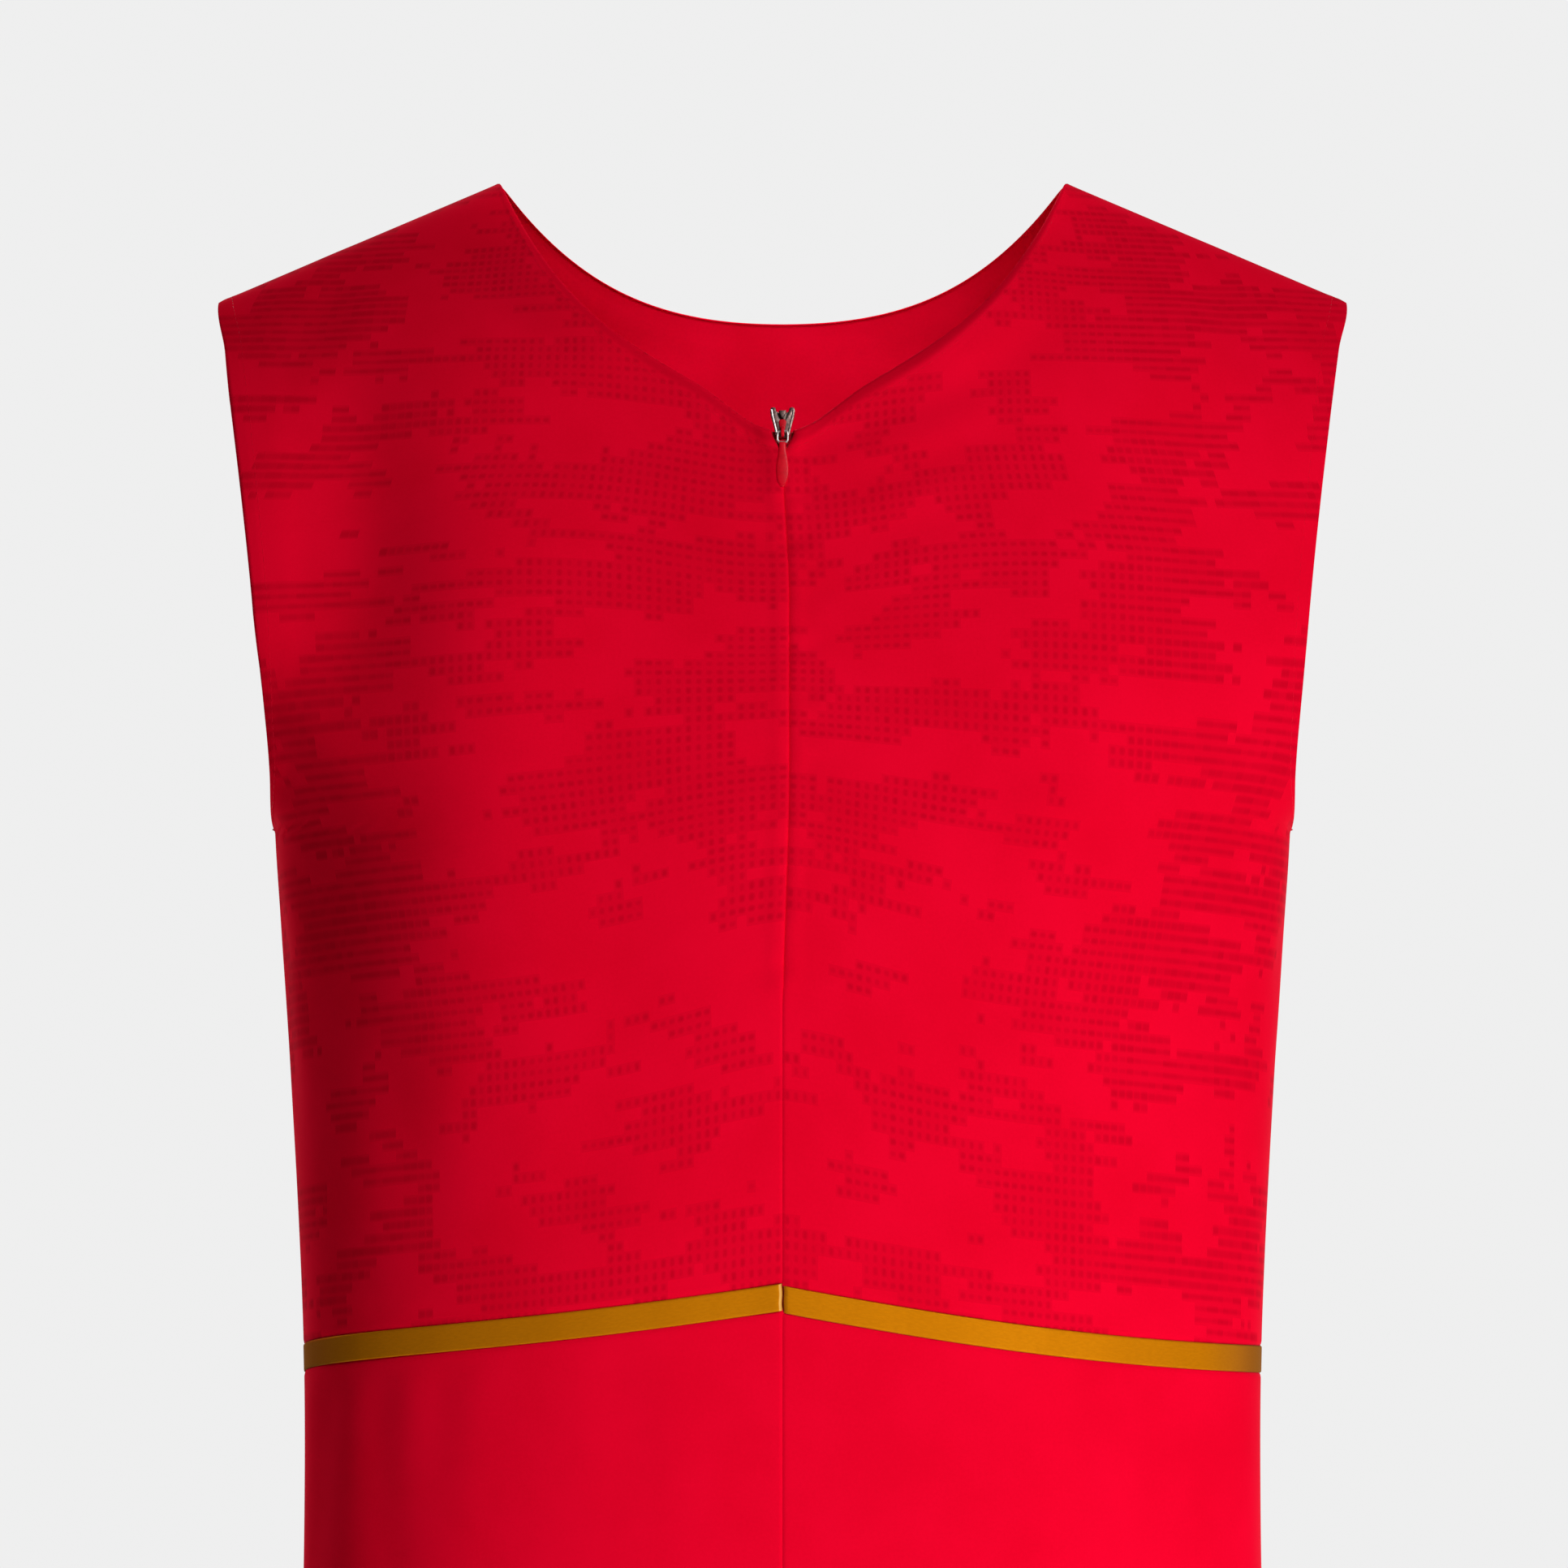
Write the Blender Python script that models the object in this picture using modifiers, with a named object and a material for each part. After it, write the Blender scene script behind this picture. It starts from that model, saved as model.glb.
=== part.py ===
"""Athletics bodysuit: cut panels, a gold waist band, short legs and a short front zip.

Metres, +Z up. The front faces -Y and the wearer's left side is +X. The origin
is midway between the two neck points, on the inside of the shoulders, where
the wearer's shoulders carry the garment. Every cloth piece is a flat grid laid
onto one body form by a function, and made a wall by Solidify.
"""

import math
from typing import Callable, NamedTuple

import bmesh
import bpy
from mathutils import Matrix, Vector

MM = 0.001
FRONT, BACK = -1, 1
LEFT, RIGHT = 1, -1

# Cloth
WALL = 1.2 * MM
SEAM_GAP = 0.4 * MM
FACE_GAP = 0.6 * MM
LAYER_GAP = 0.3 * MM

# Neck and shoulders
NECK_HALF = 99 * MM
SHOULDER_HALF = 198 * MM
SHOULDER_DROP = 42 * MM
SHOULDER_TOP = WALL
FRONT_NECK_DROP = 71.3 * MM
FRONT_NECK_DIP = 18.6 * MM
FRONT_NECK_DIP_REACH = 26 * MM
BACK_NECK_DROP = 45.2 * MM
NECK_POWERS = {FRONT: (2, 4), BACK: (2, 3.6)}
ARCH_HEIGHT = 85 * MM

# Armholes: the share of the body's depth that stays open towards each face
UNDERARM = -226 * MM
ARMHOLE_WAIST = -148 * MM
ARMHOLE_OPEN = {FRONT: 0.62, BACK: 0.46}

# Waist band: it falls evenly from the centre front, and the left half bows down
BAND_TOP = -379.2 * MM
BAND_FALL = 27.4 * MM
BAND_BOW = {LEFT: 4.0 * MM, RIGHT: 0.9 * MM}
BAND_HEIGHT = 9.0 * MM
BACK_WAIST = BAND_TOP - BAND_FALL - BAND_HEIGHT

# Legs
SPLIT_START = -560 * MM
SPLIT_POWER = 1.3
CROTCH = -720 * MM
HEM = -900 * MM
LEG_GAP_HEM = 22 * MM

# Cross-sections are superellipses of these powers
TORSO_POWER = 2.3
LEG_POWER = 2.05

# Zip
TAPE_WIDTH = 12 * MM
TAPE_WALL = 1.0 * MM
NOTCH_HALF = 4.0 * MM
NOTCH_STRAIGHT = 1.5 * MM
NOTCH_DEPTH = 9 * MM
SLIDER_LENGTH = 10.8 * MM
SLIDER_TOP_HALF = 4.2 * MM
SLIDER_END_HALF = 2.4 * MM
SLIDER_LIFT = 3.0 * MM
PLATE_WALL = 0.9 * MM
PLATE_PROUD = 0.3 * MM
WEDGE_LENGTH = 2.4 * MM
WEDGE_INSET = 0.8 * MM
SPINE_WIDTH = 1.2 * MM
TUNNEL = 2.2 * MM
ARCH_WALL = 0.7 * MM
BRIDGE_DROP = 3.6 * MM
LINK_WIRE = 0.9 * MM
LINK_HALF = 2.2 * MM
LINK_HOLE = 3.0 * MM
LINK_SHOULDER = 0.3 * MM
TAB_LENGTH = 20.2 * MM
TAB_NECK_HALF = 1.1 * MM
TAB_HALF = 2.15 * MM
TAB_WALL = 1.2 * MM
TAB_LEAN = math.radians(1.6)

# Grid sizes
UPPER_COLUMNS, UPPER_ROWS = 12, 20
NECK_COLUMNS, SIDE_SEAM_ROWS = 6, 7
LOWER_COLUMNS, ROWS_TO_CROTCH, ROWS_OF_LEG = 12, 14, 6
TAPE_COLUMNS = 2
ZIP_END_ROW = 4


class Section(NamedTuple):
    """One level of the body form: its half width and its depths from the side seam."""

    height: float
    half_width: float
    front: float
    back: float


SECTIONS = [
    Section(*(value * MM for value in row))
    for row in (
        # height, half width, front, back
        (20, 198, 56, 50),
        (-42, 197.7, 76, 70),
        (-97, 187.1, 93, 88),
        (-140, 182.0, 104, 98),
        (-183, 178.3, 112, 102),
        (-226, 177.9, 115, 101),
        (-311, 172.4, 107, 94),
        (-397, 168.2, 100, 91),
        (-455, 167.6, 98, 96),
        (-520, 169, 99, 108),
        (-600, 174, 101, 121),
        (-660, 176.5, 100, 122),
        (-720, 176, 93, 110),
        (-780, 171, 86, 94),
        (-900, 160, 72, 76),
    )
]


def mix(start: float, end: float, share: float) -> float:
    """A value between start and end."""
    return start + (end - start) * share


def clamp(value: float) -> float:
    """The value held between 0 and 1."""
    return min(1.0, max(0.0, value))


def at_height(column: str, height: float) -> float:
    """A column of SECTIONS at any height, smoothly between its rows."""
    heights = [row.height for row in SECTIONS]
    values = [getattr(row, column) for row in SECTIONS]
    height = min(heights[0], max(heights[-1], height))
    last = len(SECTIONS) - 1
    low = next(i for i in range(last) if heights[i + 1] <= height)

    def slope(i: int) -> float:
        before, after = max(0, i - 1), min(last, i + 1)
        return (values[after] - values[before]) / (heights[after] - heights[before])

    span = heights[low + 1] - heights[low]
    t = (height - heights[low]) / span
    rise = 3 * t**2 - 2 * t**3
    bend = (t**3 - 2 * t**2 + t) * slope(low) + (t**3 - t**2) * slope(low + 1)
    return mix(values[low], values[low + 1], rise) + span * bend


def split_share(height: float) -> float:
    """How far the section has parted into legs: 0 in the torso, 1 at the crotch."""
    return clamp((SPLIT_START - height) / (SPLIT_START - CROTCH)) ** SPLIT_POWER


def power_at(height: float) -> float:
    """The superellipse power of the section at a height."""
    return mix(TORSO_POWER, LEG_POWER, split_share(height))


def across_of(angle: float, power: float) -> float:
    """Sideways place on a unit superellipse, 0 at the front or back centre."""
    return math.copysign(abs(math.sin(angle)) ** (2 / power), angle)


def depth_of(angle: float, power: float) -> float:
    """Depth on a unit superellipse, 1 at the front or back centre."""
    return abs(math.cos(angle)) ** (2 / power)


def angle_of(across: float, power: float) -> float:
    """The angle whose sideways place is the one given."""
    return math.copysign(math.asin(min(1.0, abs(across) ** (power / 2))), across)


def ridge_height(x: float) -> float:
    """Height of the shoulder line, carried on over the neck."""
    slope = SHOULDER_DROP / (SHOULDER_HALF - NECK_HALF)
    return SHOULDER_TOP - slope * (abs(x) - NECK_HALF)


def neck_height(face: int, x: float) -> float:
    """Height of the neckline of the front or back; the front dips once more at the zip."""
    drop = FRONT_NECK_DROP if face == FRONT else BACK_NECK_DROP
    dip = FRONT_NECK_DIP * math.exp(-((abs(x) / FRONT_NECK_DIP_REACH) ** 1.6)) if face == FRONT else 0
    rise = sum((abs(x) / NECK_HALF) ** power for power in NECK_POWERS[face]) / 2
    return SHOULDER_TOP - drop * (1 - rise) - dip


def edge_angle(face: int, height: float) -> float:
    """The angle where a panel ends: the side seam, or the armhole above the underarm."""
    if height <= UNDERARM:
        return math.pi / 2
    level = clamp((height - ARMHOLE_WAIST) / (UNDERARM - ARMHOLE_WAIST))
    opening = ARMHOLE_OPEN[face] * math.sqrt(1 - level**2)
    return math.acos(opening ** (power_at(height) / 2))


def inner_angle(height: float) -> float:
    """The angle where a panel starts: the centre seam, or the inseam below the crotch."""
    return -angle_of(split_share(height), power_at(height))


def leg_gap(height: float) -> float:
    """Distance of the inseam from the middle of the body.

    It opens from the crotch as steeply as the thighs close in above it.
    """
    steepness = at_height("half_width", CROTCH) / 2 * SPLIT_POWER / (SPLIT_START - CROTCH)
    return LEG_GAP_HEM * (1 - math.exp(-steepness * (CROTCH - height) / LEG_GAP_HEM))


def form_point(face: int, angle: float, height: float) -> Vector:
    """A point of the outer form on the wearer's left half.

    The section's centre moves out from the middle of the body as the legs
    part, and the depth closes as an arch under the shoulder line.
    """
    power = power_at(height)
    outer = at_height("half_width", height)
    split = split_share(height)
    if height > CROTCH:
        reach = outer / (1 + split)
        centre = split * reach
    else:
        reach = (outer - leg_gap(height)) / 2
        centre = outer - reach
    reach /= across_of(edge_angle(face, height), power)
    x = centre + reach * across_of(angle, power)
    below = clamp((ridge_height(x) - height) / ARCH_HEIGHT)
    closing = math.sqrt(1 - (1 - below) ** 2)
    depth = at_height("front" if face == FRONT else "back", height)
    y = depth * depth_of(angle, power) * closing
    return Vector((max(x, SEAM_GAP / 2), face * max(y, FACE_GAP / 2), height))


def form_normal(face: int, angle: float, height: float) -> Vector:
    """Outward direction of the form on the wearer's left half."""
    step, rise = 0.01, 0.5 * MM
    aside = form_point(face, angle + step, height) - form_point(face, angle - step, height)
    up = form_point(face, angle, height + rise) - form_point(face, angle, height - rise)
    return (aside.cross(up) * -face).normalized()


def centre_normal(height: float) -> Vector:
    """Outward direction of the form on the centre front line."""
    normal = form_normal(FRONT, 0.02, height)
    normal.x = 0
    return normal.normalized()


def girth_share(across: float) -> float:
    """Share of the cloth length from the centre front to a column at the waist."""
    steps = 48
    points = [form_point(FRONT, math.pi / 2 * i / steps, BAND_TOP) for i in range(steps + 1)]
    lengths = [(b - a).length for a, b in zip(points, points[1:])]
    return sum(lengths[: round(across * steps)]) / sum(lengths)


def band_line(side: int, across: float) -> float:
    """Height of the band's top edge at a column of the front."""
    share = girth_share(across)
    return BAND_TOP - BAND_FALL * share - BAND_BOW[side] * math.sin(math.pi * share)


def notch_half(below_top: float) -> float:
    """Distance of a front edge from the centre line, wide round the slider."""
    narrowing = clamp((below_top - NOTCH_STRAIGHT) / (NOTCH_DEPTH - NOTCH_STRAIGHT))
    return mix(NOTCH_HALF, SEAM_GAP / 2, narrowing)


def side_rise(bottom: float, up: float) -> float:
    """Share of the climb up the side edge: even on the side seam, closer round the armhole."""
    tip = ridge_height(SHOULDER_HALF)
    seam = SIDE_SEAM_ROWS / UPPER_ROWS
    if up <= seam:
        height = mix(bottom, UNDERARM, up / seam)
    else:
        turn = math.pi * (up - seam) / (1 - seam)
        height = mix(UNDERARM, tip, (1 - math.cos(turn)) / 2)
    return (height - bottom) / (tip - bottom)


def upper_place(face: int, side: int, across: float, up: float) -> Vector:
    """A point of an upper panel: waist seam to neckline and shoulder seam."""
    neck_share = NECK_COLUMNS / UPPER_COLUMNS
    if across <= neck_share:
        top_x = NECK_HALF * math.sin(math.pi / 2 * across / neck_share)
        top = neck_height(face, top_x)
    else:
        top_x = mix(NECK_HALF, SHOULDER_HALF, (across - neck_share) / (1 - neck_share))
        top = ridge_height(top_x)
    bottom = band_line(side, across) + SEAM_GAP / 2 if face == FRONT else BACK_WAIST + SEAM_GAP / 2
    rise = mix(math.sin(math.pi / 2 * up), side_rise(bottom, up), across**2)
    height = mix(bottom, top, rise)
    power = power_at(top)
    reach = at_height("half_width", top) / across_of(edge_angle(face, top), power)
    top_share = angle_of(top_x / reach, power) / edge_angle(face, top)
    share = min(1.0, mix(across, top_share, rise))
    place = form_point(face, share * edge_angle(face, height), height)
    if face == FRONT and across == 0:
        place.x = notch_half(top - height)
    return place


def band_place(side: int, across: float, up: float) -> Vector:
    """A point of the waist band."""
    top = band_line(side, across) - SEAM_GAP / 2
    height = mix(top - BAND_HEIGHT + SEAM_GAP, top, up)
    return form_point(FRONT, across * math.pi / 2, height)


def lower_place(face: int, side: int, across: float, down: float) -> Vector:
    """A point of a lower panel: waist seam to crotch, then one leg down to the hem."""
    top = band_line(side, across) - BAND_HEIGHT if face == FRONT else BACK_WAIST
    crotch_share = ROWS_TO_CROTCH / (ROWS_TO_CROTCH + ROWS_OF_LEG)
    if down <= crotch_share:
        height = mix(top - SEAM_GAP / 2, CROTCH, math.sin(math.pi / 2 * down / crotch_share))
    else:
        height = mix(CROTCH, HEM, (down - crotch_share) / (1 - crotch_share))
    angle = mix(inner_angle(height), math.pi / 2, across)
    return form_point(face, angle, height)


def tape_place(side: int, across: float, up: float) -> Vector:
    """A point of a zip tape, from the front panel's own rows, moved in behind it."""
    row = mix(ZIP_END_ROW, UPPER_ROWS - 1, up) / UPPER_ROWS
    edge = upper_place(FRONT, side, 0, row)
    beside = upper_place(FRONT, side, 1 / UPPER_COLUMNS, row)
    x = mix(SEAM_GAP / 2, TAPE_WIDTH, across)
    place = edge.lerp(beside, (x - edge.x) / (beside.x - edge.x))
    place -= centre_normal(place.z) * (WALL + LAYER_GAP)
    return place


def collection(name: str) -> bpy.types.Collection:
    """A new collection in the scene."""
    made = bpy.data.collections.new(name)
    bpy.context.scene.collection.children.link(made)
    return made


def material(name: str, colour: tuple, roughness: float, metallic: float = 0.0):
    """A Principled material."""
    made = bpy.data.materials.new(name)
    made.use_nodes = True
    shader = made.node_tree.nodes["Principled BSDF"]
    shader.inputs["Base Color"].default_value = (*colour, 1)
    shader.inputs["Roughness"].default_value = roughness
    shader.inputs["Metallic"].default_value = metallic
    return made


def add_object(name: str, mesh: bpy.types.Mesh, look, group) -> bpy.types.Object:
    """An object for a mesh, with its own material, in a collection."""
    made = bpy.data.objects.new(name, mesh)
    mesh.materials.clear()
    mesh.materials.append(look)
    group.objects.link(made)
    return made


def cloth(
    name: str,
    place: Callable[[float, float], Vector],
    segments: tuple,
    flip: bool,
    look,
    group,
    wall: float = WALL,
) -> bpy.types.Object:
    """A cloth piece: a flat grid moved onto the form and thickened inwards."""
    mesh = bpy.data.meshes.new(name)
    sheet = bmesh.new()
    bmesh.ops.create_grid(sheet, x_segments=segments[0], y_segments=segments[1], size=0.5)
    for vertex in sheet.verts:
        vertex.co = place(vertex.co.x + 0.5, vertex.co.y + 0.5)
    if flip:
        bmesh.ops.reverse_faces(sheet, faces=sheet.faces)
    sheet.to_mesh(mesh)
    sheet.free()
    mesh.shade_smooth()
    made = add_object(name, mesh, look, group)
    thick = made.modifiers.new("Wall", "SOLIDIFY")
    thick.thickness = wall
    thick.offset = -1
    thick.use_even_offset = True
    thick.use_quality_normals = True
    return made


def mirrored(side: int, place: Vector) -> Vector:
    """The place on the given side of the body."""
    return Vector((side * place.x, place.y, place.z))


def build_panels(looks: dict, group) -> None:
    """The upper, band and lower panels."""
    names = {LEFT: "left", RIGHT: "right"}
    upper = (UPPER_COLUMNS, UPPER_ROWS)
    lower = (LOWER_COLUMNS, ROWS_TO_CROTCH + ROWS_OF_LEG)
    for side, word in names.items():

        def front_upper(across: float, up: float, side: int = side) -> Vector:
            return mirrored(side, upper_place(FRONT, side, across, up))

        def band(across: float, up: float, side: int = side) -> Vector:
            return mirrored(side, band_place(side, across, up))

        cloth(f"front_upper_{word}", front_upper, upper, side == RIGHT, looks["jacquard"], group)
        cloth(f"band_{word}", band, (UPPER_COLUMNS, 1), side == RIGHT, looks["gold"], group)
        for face, end in ((FRONT, "front"), (BACK, "back")):

            def panel(across: float, up: float, side: int = side, face: int = face) -> Vector:
                return mirrored(side, lower_place(face, side, across, 1 - up))

            cloth(f"{end}_lower_{word}", panel, lower, side * face > 0, looks["plain"], group)

    def back_upper(across: float, up: float) -> Vector:
        from_centre = 2 * across - 1
        place = upper_place(BACK, LEFT, abs(from_centre), up)
        if abs(from_centre) < 0.5 / UPPER_COLUMNS:
            place.x = 0
        return mirrored(LEFT if from_centre > 0 else RIGHT, place)

    cloth("back_upper", back_upper, (2 * UPPER_COLUMNS, UPPER_ROWS), True, looks["plain"], group)


def build_tapes(looks: dict, group) -> None:
    """The two zip tapes behind the front edges."""
    for side, word in ((LEFT, "left"), (RIGHT, "right")):

        def tape(across: float, up: float, side: int = side) -> Vector:
            return mirrored(side, tape_place(side, across, up))

        size = (TAPE_COLUMNS, UPPER_ROWS - 1 - ZIP_END_ROW)
        cloth(f"zip_tape_{word}", tape, size, side == RIGHT, looks["tape"], group, TAPE_WALL)


def zip_frame() -> Matrix:
    """Frame at the neckline's lowest point: X aside, Y up along the cloth, Z outwards."""
    top = neck_height(FRONT, 0)
    out = centre_normal(top)
    origin = form_point(FRONT, 0, top)
    origin.x = 0
    aside = Vector((1, 0, 0))
    frame = Matrix((aside, out.cross(aside), out)).transposed().to_4x4()
    frame.translation = origin
    return frame


def flat_plate(name: str, outlines: list, thickness: float, middle: float, look, group):
    """A plate from flat outlines, the later ones holes, centred at a height over them."""
    curve = bpy.data.curves.new(name, "CURVE")
    curve.dimensions = "2D"
    curve.fill_mode = "BOTH"
    curve.extrude = thickness / 2
    for outline in outlines:
        spline = curve.splines.new("POLY")
        spline.points.add(len(outline) - 1)
        for point, (x, y) in zip(spline.points, outline):
            point.co = (x, y, 0, 1)
        spline.use_cyclic_u = True
    drawn = bpy.data.objects.new(name, curve)
    group.objects.link(drawn)
    bpy.context.view_layer.update()
    evaluated = drawn.evaluated_get(bpy.context.evaluated_depsgraph_get())
    mesh = bpy.data.meshes.new_from_object(evaluated)
    bpy.data.objects.remove(drawn)
    bpy.data.curves.remove(curve)
    solid = bmesh.new()
    solid.from_mesh(mesh)
    bmesh.ops.remove_doubles(solid, verts=solid.verts, dist=0.001 * MM)
    bmesh.ops.translate(solid, verts=solid.verts, vec=(0, 0, middle))
    bmesh.ops.recalc_face_normals(solid, faces=solid.faces)
    solid.to_mesh(mesh)
    solid.free()
    return add_object(name, mesh, look, group)


def shield_outline() -> list:
    """Outline of a slider plate: a round head that narrows to its lower end."""
    steps = 8
    half = SLIDER_LENGTH / 2
    head = half - SLIDER_TOP_HALF
    points = [(-SLIDER_END_HALF, -half), (SLIDER_END_HALF, -half)]
    for i in range(steps + 1):
        turn = math.pi * i / steps
        points.append((SLIDER_TOP_HALF * math.cos(turn), head + SLIDER_TOP_HALF * math.sin(turn)))
    return points


def tab_half_width(along: float) -> float:
    """Half width of the pull tab's drop, from its neck to its round end."""
    share = clamp(along)
    return mix(TAB_NECK_HALF, TAB_HALF, math.sin(math.pi / 2 * share) ** 2)


def tab_outlines() -> list:
    """Outlines of the pull tab: a link with a hole, then a drop; the pivot is at 0, 0."""
    steps = 9
    top = LINK_WIRE / 2
    hole_end = -top - LINK_HOLE
    drop_start = hole_end - LINK_WIRE
    round_centre = top - TAB_LENGTH + TAB_HALF
    side = [(LINK_HALF, top), (LINK_HALF, hole_end - LINK_SHOULDER)]
    for i in range(steps + 1):
        along = i / steps
        side.append((tab_half_width(along), mix(drop_start, round_centre, along)))
    for i in range(1, steps):
        turn = math.pi / 2 * i / steps
        side.append((TAB_HALF * math.cos(turn), round_centre - TAB_HALF * math.sin(turn)))
    outer = side + [(0, round_centre - TAB_HALF)] + [(-x, y) for x, y in reversed(side)]
    inside = LINK_HALF - LINK_WIRE
    hole = [(-inside, -top), (inside, -top), (inside, hole_end), (-inside, hole_end)]
    return [outer, hole]


def spine_outline(low: float) -> list:
    """Side outlines of the slider's spine, as along, outwards: bridge with its tunnel, wedge."""
    half = TUNNEL / 2 + ARCH_WALL
    tunnel = TUNNEL / 2
    roof = TUNNEL + ARCH_WALL
    inset = 0.5 * PLATE_WALL
    chamfer = 0.6 * ARCH_WALL
    wedge_end = SLIDER_LENGTH / 2 - WEDGE_INSET
    bridge = [
        (-half, -inset),
        (-half, roof - chamfer),
        (-half + chamfer, roof),
        (half - chamfer, roof),
        (half, roof - chamfer),
        (half, -inset),
    ]
    hollow = [(tunnel, -inset), (tunnel, TUNNEL), (-tunnel, TUNNEL), (-tunnel, -inset)]
    arch = [(along - BRIDGE_DROP, out) for along, out in bridge + hollow]
    wedge_start = wedge_end - WEDGE_LENGTH
    wedge = [(wedge_start, low), (wedge_end, low), (wedge_end, -inset), (wedge_start, -inset)]
    return [arch, wedge]


def build_slider(looks: dict, group, cutters) -> None:
    """The slider: two plates, the wedge between them and the bridge over the front one."""
    frame = zip_frame() @ Matrix.Translation((0, SLIDER_LIFT, 0))
    front_middle = PLATE_PROUD + PLATE_WALL / 2 - WALL
    back_top = -(WALL + LAYER_GAP + TAPE_WALL + LAYER_GAP)
    back_middle = back_top - PLATE_WALL / 2
    slider = flat_plate(
        "zip_slider", [shield_outline()], PLATE_WALL, front_middle, looks["metal"], group
    )
    slider.matrix_world = frame
    back = flat_plate(
        "slider_back_plate", [shield_outline()], PLATE_WALL, back_middle, looks["metal"], cutters
    )
    pieces = [(back, frame)]
    upright = Matrix(((0, 0, 1, 0), (1, 0, 0, 0), (0, 1, 0, 0), (0, 0, 0, 1)))
    for name, outline in zip(("slider_bridge", "slider_wedge"), spine_outline(back_middle)):
        piece = flat_plate(name, [outline], SPINE_WIDTH, 0, looks["metal"], cutters)
        pieces.append((piece, frame @ upright))
    for piece, place in pieces:
        piece.matrix_world = place
        piece.hide_render = True
        piece.display_type = "WIRE"
        joined = slider.modifiers.new(f"Join {piece.name}", "BOOLEAN")
        joined.operation = "UNION"
        joined.solver = "EXACT"
        joined.object = piece


def build_tab(looks: dict, group) -> None:
    """The pull tab, hanging on the slider's bridge with its origin on the joint's axis."""
    tab = flat_plate("pull_tab", tab_outlines(), TAB_WALL, 0, looks["metal"], group)
    edge = tab.modifiers.new("Edge", "BEVEL")
    edge.width = 0.2 * MM
    edge.segments = 1
    edge.limit_method = "ANGLE"
    edge.angle_limit = math.radians(60)
    lift = Matrix.Translation((0, SLIDER_LIFT - BRIDGE_DROP, TUNNEL / 2))
    tab.matrix_world = zip_frame() @ lift @ Matrix.Rotation(TAB_LEAN, 4, "X")


def main() -> None:
    """Builds the garment."""
    for old in list(bpy.data.objects):
        bpy.data.objects.remove(old)
    looks = {
        "jacquard": material("Red jacquard", (0.70, 0.002, 0.014), 0.55),
        "plain": material("Plain red knit", (0.74, 0.002, 0.016), 0.50),
        "gold": material("Gold satin tape", (0.52, 0.22, 0.004), 0.35),
        "tape": material("Red zip tape", (0.45, 0.002, 0.010), 0.75),
        "metal": material("Red lacquered metal", (0.55, 0.002, 0.012), 0.30, 0.2),
    }
    garment = collection("athletics_bodysuit")
    cutters = collection("cutters")
    build_panels(looks, garment)
    build_tapes(looks, garment)
    build_slider(looks, garment, cutters)
    build_tab(looks, garment)


main()
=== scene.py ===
"""Looks of a sleeveless athletics bodysuit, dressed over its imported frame.

Lengths are in millimetres unless a name says otherwise, and meshes turn into metres as they are made.
The wearer's left is +X, the front faces -Y, and the cloth hangs down from the origin between the shoulders.
"""

import logging
import math
from dataclasses import dataclass, field
from enum import Enum, IntEnum

import bmesh
import bpy
import numpy as np
from mathutils import Matrix, Vector


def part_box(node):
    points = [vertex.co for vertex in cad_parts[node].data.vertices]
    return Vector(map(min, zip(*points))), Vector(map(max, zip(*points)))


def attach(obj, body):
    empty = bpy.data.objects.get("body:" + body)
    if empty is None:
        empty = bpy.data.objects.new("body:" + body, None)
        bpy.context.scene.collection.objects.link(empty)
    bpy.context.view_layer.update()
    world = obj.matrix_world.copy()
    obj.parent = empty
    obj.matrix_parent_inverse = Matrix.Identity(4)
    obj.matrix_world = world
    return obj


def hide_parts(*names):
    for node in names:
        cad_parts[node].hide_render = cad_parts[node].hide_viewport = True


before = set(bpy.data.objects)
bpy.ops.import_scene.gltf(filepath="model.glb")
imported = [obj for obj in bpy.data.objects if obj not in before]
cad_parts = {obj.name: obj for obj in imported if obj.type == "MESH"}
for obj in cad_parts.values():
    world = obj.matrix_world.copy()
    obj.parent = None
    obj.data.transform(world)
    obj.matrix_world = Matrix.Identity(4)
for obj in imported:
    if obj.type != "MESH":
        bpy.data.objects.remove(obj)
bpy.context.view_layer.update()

MM = 0.001
LOG = logging.getLogger("bodysuit")
Array = np.ndarray
Material = bpy.types.Material
Object = bpy.types.Object
Socket = bpy.types.NodeSocket


class Face(IntEnum):
    """The front or the back of the garment, as the sign of Y that it faces."""

    FRONT = -1
    BACK = 1


class Side(IntEnum):
    """The wearer's left or right, as the sign of X."""

    RIGHT = -1
    LEFT = 1


class Border(Enum):
    """A border of a panel's grid."""

    START = "start"
    END = "end"
    LOW = "low"
    HIGH = "high"


class Slot(Enum):
    """The record's material slots."""

    JACQUARD = "jacquard"
    PLAIN = "plain_knit"
    GOLD = "gold_tape"
    TAPE = "zip_tape"
    METAL = "zip_metal"


# ---------------------------------------------------------------- small sums


def mix(start: Array, end: Array, share: Array) -> Array:
    """Value at a share of the way from start to end."""
    return start + (end - start) * share


def ease(low: float, high: float, value: Array) -> Array:
    """Smooth climb from 0 at low to 1 at high."""
    share = np.clip((value - low) / (high - low), 0, 1)
    return share * share * (3 - 2 * share)


def hump(distance: Array, width: float) -> Array:
    """Bell that is 1 at no distance and about a third at one width."""
    return np.exp(-((distance / width) ** 2))


def unit(vectors: Array) -> Array:
    """The same vectors at length 1."""
    return vectors / np.maximum(np.linalg.norm(vectors, axis=-1, keepdims=True), 1e-9)


def roll(way: Array, width: float) -> Array:
    """Round-off that is 1 at an edge and 0 from one width on."""
    return np.clip(1 - way / width, 0, 1) ** 2


def lengths(path: Array) -> Array:
    """Length of a path up to each of its points."""
    return np.concatenate([[0], np.cumsum(np.linalg.norm(np.diff(path, axis=0), axis=-1))])


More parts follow.
